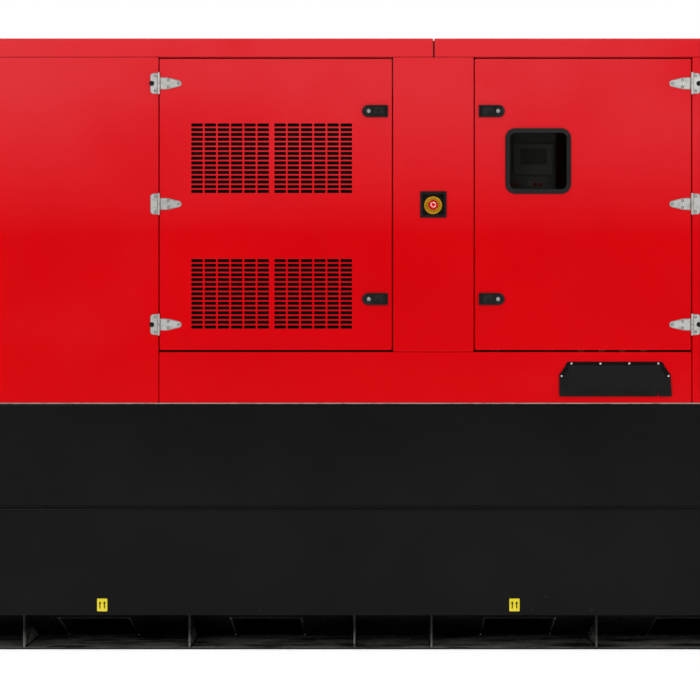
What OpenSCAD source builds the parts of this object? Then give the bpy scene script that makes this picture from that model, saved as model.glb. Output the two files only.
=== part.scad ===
// Engine driven generating and welding power set in a soundproofed canopy.
// X runs along the set, the service side faces -Y, Z is up. The origin is
// on the floor, in the middle of the set's length and width.

/* [Overall size] */
// Length of the base and the canopy
set_len = 4200; // [3900:10:5200]
// Width of the base and the canopy
set_wid = 1450; // [1280:10:1800]
// Height of the lower skid, from the floor to the seam
skid_h = 568; // [500:4:690]
// Height of the upper base frame
upper_h = 410; // [340:5:500]
// Height of the canopy walls
wall_h = 1386; // [1300:2:1700]
// Height of the roof caps
roof_h = 80; // [60:2:110]

/* [Sheet metal] */
// Thickness of the canopy sheet
sheet_t = 3; // [2:0.5:4]
// Depth of the folded edges of panels and doors
fold_d = 50; // [40:1:60]
// Thickness of the base sheet
base_t = 6; // [4:1:8]
// Width of the flanges folded on the base side rails
flange_w = 130; // [115:1:150]
// Gap of the seam between lower skid and upper base
seam_gap = 6; // [3:1:10]
// Thickness of the gasket under the canopy
gasket_t = 4; // [2:1:6]
// Shadow gap between the walls and the roof edge
roof_gap = 2; // [1:0.5:4]
// Height of the crown in the middle of the roof
roof_crown = 14; // [4:1:30]

/* [Skid] */
// Height of the fold where the skid side turns inwards
skid_fold_z = 140; // [132:1:190]
// Depth of the bottom flange, from the side face inwards
skid_foot_d = 278; // [220:1:330]
// Inner width of a fork pocket
pocket_w = 280; // [220:5:320]
// Inner height of a fork pocket
pocket_h = 100; // [90:1:104]
// Wall of a fork pocket tube
pocket_t = 6; // [4:1:8]
// Distance of the inner pockets from the middle
pocket_x1 = 512; // [400:2:600]
// Distance of the outer pockets from the middle
pocket_x2 = 1206; // [1100:2:1300]
// Thickness of a gusset plate
gusset_t = 8; // [6:1:12]
// Spacing of the gusset plates
gusset_pitch = 663; // [600:1:700]
// Radius of the holes for floor bolts
floor_hole_r = 9; // [6:0.5:12]
// Distance of the floor holes from the ends
floor_hole_in = 150; // [100:5:250]
// Radius of the lifting eyes in the end plates
eye_r = 30; // [20:1:40]

/* [Doors] */
// Width of the louvred door
louvre_door_w = 932; // [900:2:1000]
// Width of the door with the window
window_door_w = 868; // [800:2:920]
// Width of the post between the doors
post_w = 324; // [260:2:400]
// Height of the sill panel under the doors
sill_h = 204; // [190:2:260]
// Gap beside a door
side_gap = 4; // [3:0.5:6]
// Gap over the sill
sill_gap = 8; // [5:1:12]
// Gap under the top of the wall
head_gap = 6; // [4:1:10]
// Side of the square window
window_w = 264; // [200:2:300]
// Distance of the window's middle from the door's free edge
window_in = 254; // [240:2:320]
// Distance of the window's middle from the door's top edge
window_down = 411; // [380:2:480]
// Outer corner radius of the window
window_r = 40; // [20:1:50]

/* [Louvres] */
// Length of a slot
slot_w = 46; // [40:1:48]
// Height of a slot
slot_h = 12.5; // [9:0.5:14]
// Sideways pitch of the slots
slot_px = 53; // [51:0.5:54]
// Upward pitch of the slots
slot_pz = 19; // [17:0.5:20]
// Slots in a row of one grille
slot_cols = 6; // [3:1:6]
// Rows in one grille
slot_rows = 15; // [6:1:15]

/* [Fittings] */
// Height of a hinge knuckle pair
knuckle_h = 88; // [70:1:100]
// Radius of a hinge knuckle
knuckle_r = 4.5; // [4:0.1:6]
// Radius of a hinge pin
hinge_pin_r = 2.5; // [2:0.1:3]
// Distance of the hinge axis from the door's edge
hinge_in = 2; // [2:0.5:3]
// Length of a latch housing
latch_l = 104; // [96:1:120]
// Height of a latch housing
latch_h = 48; // [44:1:56]
// Distance of a latch from the door's free edge
latch_in = 16; // [12:1:30]
// Side of the square emergency stop bezel
bezel_w = 106; // [96:1:120]
// Radius of the emergency stop head
stop_r = 20; // [15:0.5:24]
// Travel of the emergency stop head
stop_travel = 5; // [3:0.5:7]
// Width of the cable flap
flap_w = 446; // [380:2:480]
// Height of the cable flap
flap_h = 139; // [120:1:150]

/* [Machinery] */
// Height of the crankshaft over the bearer rails
crank_up = 380; // [340:5:420]
// Length of the engine block
engine_l = 1060; // [1000:10:1120]
// Width of the engine block
engine_w = 520; // [460:10:560]
// Radius of the crankshaft journals
journal_r = 40; // [30:1:50]
// Radius of the cooling fan
fan_r = 380; // [330:5:420]
// Outer radius of the generator housing
stator_r = 280; // [260:5:300]
// Radius of the generator rotor
rotor_r = 165; // [150:1:170]
// Radius of the silencer
silencer_r = 150; // [120:5:160]
// Radius of the exhaust pipe
pipe_r = 45; // [35:1:50]

/* [Hidden] */

red = "#d0060e";
black = "#1b1b1b";
steel = "#c9ccd0";
rubber = "#222222";
yellow = "#efe11e";
grey = "#8b9094";
cast = "#3d4a46";
$fn = 48;
eps = 0.01;       // overlap of a cut past the face it cuts
touch = 0.3;      // gap between pieces that move past each other
run_fit = 0.05;   // radial clearance of a pin or shaft in its bore

half_l = set_len / 2;
half_w = set_wid / 2;
front_y = -half_w;
seam_z = skid_h + seam_gap;
base_top = seam_z + upper_h;
wall_z0 = base_top + gasket_t;
wall_top = wall_z0 + wall_h;
sill_top = wall_z0 + sill_h;
door_z0 = sill_top + sill_gap;
door_z1 = wall_top - head_gap;
door_d = fold_d - 10;
louvre_x1 = -side_gap;
louvre_x0 = louvre_x1 - louvre_door_w;
window_x0 = post_w + side_gap;
window_x1 = window_x0 + window_door_w;
hinge_y = front_y - knuckle_r - touch;
louvre_axis = louvre_x0 - hinge_in;
window_axis = window_x1 + hinge_in;
hinge_zs = [door_z1 - 100, (door_z0 + door_z1) / 2, door_z0 + 102];
latch_zs = [door_z1 - 211, door_z0 + 204];
window_cx = window_x0 + window_in;
window_cz = door_z1 - window_down;
bearer_t = 80;    // side of a cross tube and of a long rail
rail_top = seam_z + base_t + 2 * bearer_t;
crank_z = rail_top + crank_up;

// Plate lying in XZ with its outer face at y = 0, thickness towards +Y
module slab_xz(x0, x1, z0, z1, t) {
    translate([x0, 0, z0])
        cube([x1 - x0, t, z1 - z0]);
}

// Square plate outline with round corners, standing in XZ from y0 to y1
module round_slab(w, h, r, y0, y1) {
    translate([0, y0, 0])
        rotate([-90, 0, 0])
            linear_extrude(y1 - y0)
                union() {
                    square([w - 2 * r, h], center = true);
                    square([w, h - 2 * r], center = true);
                    for (sx = [-1, 1], sz = [-1, 1])
                        translate([sx * (w / 2 - r), sz * (h / 2 - r)])
                            circle(r);
                }
}

// Sheet metal tray: skin in the XZ plane at y = 0, edges folded towards +Y
module tray(x0, x1, z0, z1, depth = fold_d) {
    difference() {
        slab_xz(x0, x1, z0, z1, depth);
        translate([0, sheet_t, 0])
            slab_xz(x0 + sheet_t, x1 - sheet_t, z0 + sheet_t, z1 - sheet_t, depth);
    }
}

module on_front() {
    translate([0, front_y, 0])
        children();
}

module on_rear() {
    mirror([0, 1, 0])
        on_front()
            children();
}

// Outline across one side of the skid: face, inward fold, bottom flange
module skid_profile() {
    polygon([
        [0, skid_fold_z], [0, skid_h], [60, skid_h], [60, skid_h - base_t],
        [base_t, skid_h - base_t], [base_t, skid_fold_z + 4],
        [skid_foot_d, 10], [skid_foot_d, 0], [0, 0], [0, 8], [skid_foot_d - 16, 8]
    ]);
}

pocket_out_w = pocket_w + 2 * pocket_t;
pocket_out_h = pocket_h + 2 * pocket_t;
pocket_xs = [-pocket_x2, -pocket_x1, pocket_x1, pocket_x2];
gusset_xs = [-2.23, -1.23, -0.233, 0.233, 1.23, 2.23] * gusset_pitch;

// Space outside the sloped part of a skid side, as an outline in YZ
module skid_outside() {
    polygon([[-10, 8], [skid_foot_d - 16, 8], [0, skid_fold_z], [-10, skid_fold_z]]);
}

module along_x(x0, x1) {
    translate([x0, 0, 0])
        rotate([90, 0, 90])
            linear_extrude(x1 - x0)
                children();
}

module skid_side() {
    color(black)
        difference() {
            translate([0, front_y, 0])
                along_x(-half_l + base_t, half_l - base_t)
                    skid_profile();
            for (x = pocket_xs)
                translate([x - pocket_out_w / 2, front_y - 10, 8])
                    cube([pocket_out_w, skid_foot_d + 20, pocket_out_h]);
            for (sx = [-1, 1])
                translate([sx * (half_l - floor_hole_in), front_y + 120, -eps])
                    cylinder(r = floor_hole_r, h = 8 + 2 * eps);
        }
}

module skid_side_front() {
    skid_side();
}

module skid_side_rear() {
    mirror([0, 1, 0])
        skid_side();
}

eye_t = 20;
eye_y = half_w - 180;
eye_z = 330;

// End plates of the lower skid, with lifting eyes, and of the upper base
module base_ends() {
    color(black)
        for (sx = [-1, 1]) {
            difference() {
                union() {
                    translate([sx * (half_l - base_t / 2) - base_t / 2, -half_w, 0])
                        cube([base_t, set_wid, skid_h]);
                    for (sy = [-1, 1])
                        translate([sx * (half_l - eye_t / 2), sy * eye_y, eye_z])
                            rotate([0, 90, 0])
                                cylinder(r = 2 * eye_r, h = eye_t, center = true);
                }
                for (sy = [-1, 1])
                    translate([sx * (half_l - eye_t / 2), sy * eye_y, eye_z])
                        rotate([0, 90, 0])
                            cylinder(r = eye_r, h = eye_t + 2, center = true);
            }
            translate([sx * (half_l - base_t / 2) - base_t / 2, -half_w, seam_z])
                cube([base_t, set_wid, upper_h]);
        }
}

module skid_gussets() {
    color(black)
        for (sy = [0, 1], x = gusset_xs)
            mirror([0, sy, 0])
                translate([0, front_y, 0])
                    along_x(x - gusset_t / 2, x + gusset_t / 2)
                        polygon([[0, 8], [skid_foot_d - 16, 8], [0, skid_fold_z]]);
}

// Rectangular tubes from side to side that take the forks of a lift truck
module fork_pocket_tubes() {
    color(black)
        for (x = pocket_xs)
            difference() {
                translate([x - pocket_out_w / 2, -half_w, 8])
                    cube([pocket_out_w, set_wid, pocket_out_h]);
                translate([x - pocket_w / 2, -half_w - 1, 8 + pocket_t])
                    cube([pocket_w, set_wid + 2, pocket_h]);
                for (sy = [0, 1])
                    mirror([0, sy, 0])
                        translate([0, front_y, 0])
                            along_x(x - pocket_out_w / 2 - 1, x + pocket_out_w / 2 + 1)
                                skid_outside();
            }
}

// Small yellow plates over the pockets that carry the balanced load
module fork_markers() {
    color(yellow)
        for (sy = [0, 1], x = [-pocket_x2 + 42, pocket_x1 - 26])
            mirror([0, sy, 0])
                translate([x - 21.5, front_y - 1.5, 153])
                    cube([43, 1.5, 51]);
}

tank_z0 = 8 + pocket_out_h + 24;
tank_z1 = skid_h - base_t - 14;
tank_x0 = -1800;
tank_x1 = 1500;
tank_y = half_w - base_t - 10;
tank_t = 4;
neck_r = 40;
neck_t = 3;
neck_pos = [louvre_x0 + 76, front_y + 205];
neck_top = base_top + 66;

// Fuel tank with its filler neck; feet stand it on the fork pocket tubes
module fuel_tank() {
    color(black)
        difference() {
            union() {
                translate([tank_x0, -tank_y, tank_z0])
                    cube([tank_x1 - tank_x0, 2 * tank_y, tank_z1 - tank_z0]);
                for (x = pocket_xs, sy = [-1, 1])
                    translate([x - 60, sy * 300 - 50, 8 + pocket_out_h])
                        cube([120, 100, tank_z0 - 8 - pocket_out_h + 1]);
                translate([neck_pos[0], neck_pos[1], tank_z1 - 1])
                    cylinder(r = neck_r, h = neck_top - tank_z1 + 1);
            }
            translate([tank_x0 + tank_t, tank_t - tank_y, tank_z0 + tank_t])
                cube([tank_x1 - tank_x0 - 2 * tank_t, 2 * (tank_y - tank_t), tank_z1 - tank_z0 - 2 * tank_t]);
            translate([neck_pos[0], neck_pos[1], tank_z1 - 10])
                cylinder(r = neck_r - neck_t, h = neck_top - tank_z1 + 20);
        }
}

module fuel_cap() {
    color(black)
        translate([neck_pos[0], neck_pos[1], neck_top + touch])
            union() {
                cylinder(r = neck_r + 8, h = 18);
                translate([0, 0, -24])
                    cylinder(r = neck_r - neck_t - touch, h = 25);
                translate([-38, -6, 17])
                    cube([76, 12, 16]);
            }
}

// C-shaped side rail of the upper base
module upper_rail() {
    color(black)
        translate([0, front_y, 0])
            along_x(-half_l + base_t, half_l - base_t)
                polygon([
                    [0, seam_z], [flange_w, seam_z], [flange_w, seam_z + base_t],
                    [base_t, seam_z + base_t], [base_t, base_top - base_t],
                    [flange_w, base_top - base_t], [flange_w, base_top], [0, base_top]
                ]);
}

module upper_rail_front() {
    upper_rail();
}

module upper_rail_rear() {
    mirror([0, 1, 0])
        upper_rail();
}

bearer_xs = [-1590, -1000, 100, 900];
bearer_y = 340;

// Cross tubes on the side rails and two long rails that carry the machine
module engine_bearers() {
    color(black) {
        for (x = bearer_xs)
            translate([x - 50, -half_w + base_t + 2, seam_z + base_t])
                cube([100, set_wid - 2 * base_t - 4, bearer_t]);
        for (sy = [-1, 1])
            translate([bearer_xs[0] - 50, sy * bearer_y - bearer_t / 2, seam_z + base_t + bearer_t + touch])
                cube([bearer_xs[3] - bearer_xs[0] + 100, bearer_t, bearer_t - touch]);
    }
}

mount_xs = [-1100, -300, 600];
mount_h = 70;

// Rubber cushions between the rails and the machine's feet
module engine_mounts() {
    color(rubber)
        for (x = mount_xs, sy = [-1, 1])
            translate([x, sy * bearer_y, rail_top])
                cylinder(r = 36, h = mount_h);
}

// Thin light gasket between the black base and the canopy
module canopy_gasket() {
    color("#b9b4ae")
        for (s = [-1, 1]) {
            translate([-half_l + 2, s * (half_w - fold_d / 2 - 1) - fold_d / 2 + 1, base_top])
                cube([set_len - 4, fold_d - 2, gasket_t]);
            translate([s * (half_l - fold_d / 2 - 1) - fold_d / 2 + 1, -half_w + fold_d + touch, base_top])
                cube([fold_d - 2, set_wid - 2 * (fold_d + touch), gasket_t]);
        }
}

// Rubber strips in the seam of the base and in the joint of the roof
module joint_strips() {
    color(rubber)
        union() {
            for (sy = [-1, 1])
                translate([-half_l + 20, sy * (half_w - 34) - 26, skid_h])
                    cube([set_len - 40, 52, seam_gap]);
            roof_cap(roof_joint - joint_half, roof_joint + joint_half, false);
        }
}

roof_z0 = wall_top + roof_gap;
roof_top = roof_z0 + roof_h;
roof_joint = post_w / 2 + 2;
joint_half = 2;
roof_r = 15;
stack_x = -1850;

// Height of the crowned roof skin's outside at a distance y from the middle
function roof_z(y) = roof_top - roof_crown * pow(y / half_w, 2);

function roof_arc(in) = [
    for (a = [0:15:90])
        [half_w - roof_r + (roof_r - in) * cos(a), roof_top - roof_crown - roof_r + (roof_r - in) * sin(a)]
];

function roof_crown_pts(in) = [
    for (i = [1:7])
        let (y = (half_w - roof_r) * (1 - i / 8)) [y, roof_z(y) - in]
];

function mirrored(p) = [for (i = [len(p) - 1:-1:0]) [-p[i][0], p[i][1]]];

// Outline of the roof cap across the set, moved inwards by `in`
module roof_outline(in, z0) {
    half = concat([[half_w - in, z0]], roof_arc(in), roof_crown_pts(in));
    mid = [[0, roof_top - in]];
    polygon(concat(half, mid, mirrored(half)));
}

// Roof cap from x0 to x1; a lip inside its edge stands on the walls
module roof_cap(x0, x1, closed) {
    difference() {
        union() {
            along_x(x0, x1)
                roof_outline(0, roof_z0);
            if (closed)
                translate([x0, -half_w + sheet_t, wall_top])
                    cube([x1 - x0, set_wid - 2 * sheet_t, roof_gap + 4]);
        }
        along_x(x0 + (closed ? sheet_t : -1), x1 - (closed ? sheet_t : -1))
            roof_outline(sheet_t, roof_z0 + (closed ? sheet_t : -1));
        translate([x0 + (closed ? fold_d : -1), -half_w + fold_d, wall_top - 1])
            cube([x1 - x0 - (closed ? 2 * fold_d : -2), set_wid - 2 * fold_d, 20]);
    }
}

module roof_left() {
    color(red)
        difference() {
            roof_cap(-half_l, roof_joint - joint_half, true);
            translate([stack_x, 0, wall_top])
                cylinder(r = pipe_r + 20, h = 200);
        }
}

module roof_right() {
    color(red)
        roof_cap(roof_joint + joint_half, half_l, true);
}

module front_left_panel() {
    color(red)
        on_front()
            tray(-half_l, louvre_x0 - side_gap, wall_z0, wall_top);
}

module front_right_panel() {
    color(red)
        on_front()
            tray(window_x1 + side_gap, half_l, wall_z0, wall_top);
}

stop_x = post_w / 2;
stop_z = door_z1 - 585;
bezel_hole = bezel_w - 16;
tub_d = 30;
stem_r = 11;
legend_r = 36;
legend_t = 2;

// Post between the doors, with a square hole for the emergency stop
module front_post() {
    color(red)
        on_front()
            difference() {
                tray(0, post_w, sill_top + 1, wall_top);
                translate([stop_x - bezel_hole / 2, -1, stop_z - bezel_hole / 2])
                    cube([bezel_hole, sheet_t + 2, bezel_hole]);
            }
}

flap_x0 = window_x1 - 84 - flap_w;
flap_top = wall_z0 + 165;
outlet_x0 = flap_x0 + 22;
outlet_x1 = flap_x0 + flap_w - 22;
outlet_z0 = flap_top - flap_h + 14;
outlet_z1 = flap_top - 24;

// Panel under the doors, with the outlet for the output cables
module front_sill() {
    color(red)
        on_front()
            difference() {
                tray(louvre_x0 - side_gap + 1, window_x1 + side_gap - 1, wall_z0, sill_top);
                translate([0, -1, 0])
                    slab_xz(outlet_x0, outlet_x1, outlet_z0, outlet_z1, sheet_t + 2);
            }
}

// Fixed rear side: a panel on each side of the service door, and its sill
module rear_panels() {
    color(red)
        on_rear() {
            tray(-half_l, louvre_x0 - side_gap, wall_z0, wall_top);
            tray(0, half_l, wall_z0, wall_top);
            tray(louvre_x0 - side_gap + 1, -1, wall_z0, sill_top);
        }
}

end_half = half_w - fold_d - 1;

// End wall with a field of air slots
module end_panel(rows, z_low) {
    difference() {
        translate([-fold_d, -end_half, wall_z0])
            cube([fold_d, 2 * end_half, wall_h]);
        translate([-fold_d - 1, sheet_t - end_half, wall_z0 + sheet_t])
            cube([fold_d - sheet_t + 1, 2 * (end_half - sheet_t), wall_h - 2 * sheet_t]);
        for (i = [0:rows - 1], j = [-1, 0, 1])
            translate([-sheet_t - 1, j * 380 - 170, z_low + i * 46])
                cube([sheet_t + 2, 340, 22]);
    }
}

module right_end_panel() {
    color(red)
        translate([half_l, 0, 0])
            end_panel(14, wall_z0 + 560);
}

module left_end_panel() {
    color(red)
        mirror([1, 0, 0])
            translate([half_l, 0, 0])
                end_panel(20, wall_z0 + 240);
}

grille_w = (slot_cols - 1) * slot_px + slot_w;
grille_h = (slot_rows - 1) * slot_pz + slot_h;
grille_in = 128;
grille_x0s = [louvre_x0 + grille_in, louvre_x0 + grille_in + grille_w + 22];
grille_z0s = [door_z1 - 260 - grille_h, door_z0 + 86];

// Door leaf with four grilles of punched slots
module louvred_leaf() {
    difference() {
        tray(louvre_x0, louvre_x1, door_z0, door_z1, door_d);
        for (gx = grille_x0s, gz = grille_z0s, i = [0:slot_cols - 1], j = [0:slot_rows - 1])
            translate([gx + i * slot_px, -1, gz + j * slot_pz])
                cube([slot_w, sheet_t + 2, slot_h]);
    }
}

module louvre_door() {
    color(red)
        on_front()
            louvred_leaf();
}

module service_door() {
    color(red)
        on_rear()
            louvred_leaf();
}

liner_gap = 9;
liner_t = 20;

// Sound lining held a finger's width behind the slots
module louvre_door_liner() {
    color(rubber)
        on_front()
            translate([0, sheet_t + liner_gap, 0])
                slab_xz(louvre_x0 + sheet_t, louvre_x1 - sheet_t,
                        door_z0 + sheet_t, door_z1 - sheet_t, liner_t);
}

module window_door() {
    color(red)
        on_front()
            difference() {
                tray(window_x0, window_x1, door_z0, door_z1, door_d);
                translate([window_cx, 0, window_cz])
                    round_slab(window_w - 28, window_w - 28, window_r - 14, -1, sheet_t + 1);
            }
}

// Rubber profile that holds the pane in the door
module window_seal() {
    color(rubber)
        translate([window_cx, front_y, window_cz])
            difference() {
                round_slab(window_w, window_w, window_r, -7, sheet_t + 6);
                round_slab(window_w - 40, window_w - 40, window_r - 20, -8, sheet_t + 7);
                difference() {
                    round_slab(window_w + 9, window_w + 9, window_r, 0, sheet_t);
                    round_slab(window_w - 28, window_w - 28, window_r - 14, -1, sheet_t + 1);
                }
                round_slab(window_w - 34, window_w - 34, window_r - 17, -4.5, 0.5);
            }
}

module window_glass() {
    color("#20262a")
        translate([window_cx, front_y, window_cz])
            round_slab(window_w - 34.4, window_w - 34.4, window_r - 17.2, -4.3, 0.3);
}

leaf_w = 34;
leaf_h = 83;
leaf_t = 3;
screw_hole_r = 3;
hinge_cap_x = 28;   // distance of the plastic cap from the hinge axis
hinge_cap_r = 10;
strap_l = 91;
strap_h = 48;
strap_taper = 40;   // where the strap starts to taper, from the axis
tip_r = 13;

// Fixed half of a lift-off hinge: leaf, lower knuckle and pin.
// The axis is the origin, the door lies towards +X, the wall face is at y = knuckle_r + touch.
module hinge_leaf() {
    face = knuckle_r + touch;
    union() {
        difference() {
            translate([-leaf_w, face - leaf_t, -leaf_h / 2])
                cube([leaf_w - knuckle_r - 0.8, leaf_t, leaf_h]);
            for (sz = [-1, 1])
                translate([-14, 0, sz * 30])
                    rotate([-90, 0, 0])
                        cylinder(r = screw_hole_r, h = 10);
        }
        translate([-knuckle_r - 1, face - leaf_t, -leaf_h / 2])
            cube([knuckle_r + 1, leaf_t, leaf_h / 2 - 1]);
        translate([0, 0, -knuckle_h / 2])
            cylinder(r = knuckle_r, h = knuckle_h / 2 - touch);
        translate([0, 0, -knuckle_h / 2 + 1])
            cylinder(r = hinge_pin_r, h = knuckle_h - 2);
        translate([-hinge_cap_x, -1, 0])
            rotate([-90, 0, 0])
                cylinder(r = hinge_cap_r, h = face - 1);
    }
}

// Door half: upper knuckle and a strap that tapers to a round tip
module hinge_strap() {
    face = knuckle_r + touch;
    difference() {
        union() {
            translate([0, 0, touch])
                cylinder(r = knuckle_r, h = knuckle_h / 2 - touch);
            translate([0, face - leaf_t, 1])
                cube([knuckle_r + 2, leaf_t, strap_h / 2 - 1]);
            translate([0, face, 0])
                rotate([90, 0, 0])
                    linear_extrude(leaf_t)
                        union() {
                            polygon([
                                [knuckle_r + 0.8, -strap_h / 2], [strap_taper, -strap_h / 2],
                                [strap_l - 12, -tip_r], [strap_l - 12, tip_r], [strap_taper, strap_h / 2],
                                [knuckle_r + 0.8, strap_h / 2]
                            ]);
                            translate([strap_l - tip_r, 0])
                                circle(r = tip_r);
                        }
        }
        translate([0, 0, -1])
            cylinder(r = hinge_pin_r + run_fit, h = knuckle_h);
        for (p = [[38, -13], [38, 13], [strap_l - tip_r, 0]])
            translate([p[0], 0, p[1]])
                rotate([-90, 0, 0])
                    cylinder(r = screw_hole_r, h = 10);
    }
}

// Places its children at the three hinges of each door
module at_louvre_hinges() {
    for (z = hinge_zs)
        translate([louvre_axis, hinge_y, z])
            children();
}

module at_window_hinges() {
    for (z = hinge_zs)
        translate([window_axis, hinge_y, z])
            mirror([1, 0, 0])
                children();
}

module at_service_hinges() {
    mirror([0, 1, 0])
        at_louvre_hinges()
            children();
}

module hinge_leaves() {
    color(steel) {
        at_louvre_hinges()
            hinge_leaf();
        at_window_hinges()
            hinge_leaf();
        at_service_hinges()
            hinge_leaf();
    }
}

module louvre_door_straps() {
    color(steel)
        at_louvre_hinges()
            hinge_strap();
}

module window_door_straps() {
    color(steel)
        at_window_hinges()
            hinge_strap();
}

module service_door_straps() {
    color(steel)
        at_service_hinges()
            hinge_strap();
}

latch_t = 7;
paddle_l = 58;
paddle_t = 4.5;
paddle_pin_x = latch_h / 2 + 20;
paddle_pin_r = 1.5;
paddle_y = -latch_t + paddle_t / 2 + 0.2;
rim_t = 4;
lock_r = 8;
lock_x = latch_h / 2 + 3;

// Latch housing: round end with the lock at x = 0, square end towards +X
module latch_housing() {
    difference() {
        union() {
            rotate([90, 0, 0])
                linear_extrude(latch_t)
                    union() {
                        translate([latch_h / 2, 0])
                            circle(r = latch_h / 2);
                        translate([latch_h / 2, -latch_h / 2])
                            square([latch_l - latch_h / 2, latch_h]);
                    }
            translate([lock_x, 0, 0])
                rotate([90, 0, 0])
                    cylinder(r = lock_r, h = latch_t + 2);
        }
        translate([paddle_pin_x - 3, -latch_t - 1, -latch_h / 2 + rim_t])
            cube([latch_l - paddle_pin_x - 1, latch_t - 1, latch_h - 2 * rim_t]);
        translate([paddle_pin_x, paddle_y, -latch_h / 2 + 1])
            cylinder(r = paddle_pin_r + run_fit, h = latch_h - 2);
    }
}

// Finger paddle that swings out about the pin at its inner end
module latch_paddle() {
    w = latch_h - 2 * rim_t - 1;
    color(black)
        difference() {
            union() {
                translate([paddle_pin_x, paddle_y, -w / 2])
                    cylinder(r = paddle_t / 2, h = w);
                translate([paddle_pin_x, paddle_y - paddle_t / 2, -w / 2])
                    cube([paddle_l - 10, paddle_t, w]);
                translate([paddle_pin_x, paddle_y, -latch_h / 2 + 1.5])
                    cylinder(r = paddle_pin_r, h = latch_h - 3);
            }
            translate([paddle_pin_x + paddle_l - 16, paddle_y + 0.5, -w / 2 + 6])
                cube([10, paddle_t, w - 12]);
        }
}

module at_louvre_latch(i) {
    translate([louvre_x1 - latch_in - latch_l, front_y, latch_zs[i]])
        children();
}

module at_window_latch(i) {
    translate([window_x0 + latch_in + latch_l, front_y, latch_zs[i]])
        mirror([1, 0, 0])
            children();
}

module at_service_latch(i) {
    mirror([0, 1, 0])
        at_louvre_latch(i)
            children();
}

module louvre_door_latches() {
    color(black)
        for (i = [0, 1])
            at_louvre_latch(i)
                latch_housing();
}

module window_door_latches() {
    color(black)
        for (i = [0, 1])
            at_window_latch(i)
                latch_housing();
}

module service_door_latches() {
    color(black)
        for (i = [0, 1])
            at_service_latch(i)
                latch_housing();
}

module louvre_paddle_top() {
    at_louvre_latch(0)
        latch_paddle();
}

module louvre_paddle_low() {
    at_louvre_latch(1)
        latch_paddle();
}

module window_paddle_top() {
    at_window_latch(0)
        latch_paddle();
}

module window_paddle_low() {
    at_window_latch(1)
        latch_paddle();
}

module service_paddle_top() {
    at_service_latch(0)
        latch_paddle();
}

module service_paddle_low() {
    at_service_latch(1)
        latch_paddle();
}

// Recessed tub with a flange on the post; the legend disc lies in it
module stop_bezel() {
    translate([stop_x, front_y, stop_z]) {
        color(black)
            difference() {
                union() {
                    translate([-bezel_w / 2, -4, -bezel_w / 2])
                        cube([bezel_w, 4, bezel_w]);
                    translate([-bezel_hole / 2, -1, -bezel_hole / 2])
                        cube([bezel_hole, tub_d + 4, bezel_hole]);
                }
                translate([-bezel_hole / 2 + 3, -5, -bezel_hole / 2 + 3])
                    cube([bezel_hole - 6, tub_d + 5, bezel_hole - 6]);
                rotate([-90, 0, 0])
                    cylinder(r = stem_r + run_fit, h = 60);
            }
        color(yellow)
            translate([0, tub_d - touch, 0])
                rotate([90, 0, 0])
                    difference() {
                        cylinder(r = legend_r, h = legend_t);
                        translate([0, 0, -1])
                            cylinder(r = stem_r + run_fit, h = 4);
                    }
    }
}

// Mushroom head on its stem; it is pushed in along +Y
module stop_head() {
    color(red)
        translate([stop_x, front_y + tub_d, stop_z])
            rotate([90, 0, 0])
                union() {
                    translate([0, 0, -20])
                        cylinder(r = stem_r, h = 32);
                    translate([0, 0, legend_t + stop_travel + 1])
                        cylinder(r1 = stop_r - 3, r2 = stop_r, h = 6);
                    translate([0, 0, legend_t + stop_travel + 7])
                        cylinder(r1 = stop_r, r2 = stop_r - 4, h = 9);
                }
}

flap_t = 4;
flap_chamfer = 34;

// Steel strip with its screws that clamps the top of the flap
module flap_strip() {
    color(black)
        translate([0, front_y, 0])
            union() {
                translate([0, -3, 0])
                    slab_xz(flap_x0 + flap_chamfer, flap_x0 + flap_w - flap_chamfer,
                            flap_top - 14, flap_top, 3);
                for (x = [0.11, 0.37, 0.63, 0.89] * flap_w)
                    translate([flap_x0 + x, 0, flap_top - 7])
                        rotate([90, 0, 0])
                            cylinder(r = 4, h = 6);
            }
}

// Rubber flap over the cable outlet
module cable_flap() {
    z1 = flap_top - 14 - touch;
    z0 = flap_top - flap_h;
    color(rubber)
        translate([0, front_y - touch, 0])
            rotate([90, 0, 0])
                linear_extrude(flap_t)
                    polygon([
                        [flap_x0, z0], [flap_x0 + flap_w, z0],
                        [flap_x0 + flap_w, flap_top - 48], [flap_x0 + flap_w - 20, z1],
                        [flap_x0 + 20, z1], [flap_x0, flap_top - 48]
                    ]);
}

block_x1 = -170;
block_x0 = block_x1 - engine_l;
block_z0 = crank_z - 260;
block_z1 = crank_z + 280;
foot_z = rail_top + mount_h;
block_t = 30;
sump_h = 110;
sump_half = 190;
sump_t = 6;
fan_shaft_r = 20;
fan_z = crank_z + 205;
fan_x = block_x0 - 150;

module x_cyl(x0, x1, r) {
    translate([x0, 0, 0])
        rotate([0, 90, 0])
            cylinder(r = r, h = x1 - x0);
}

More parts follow.
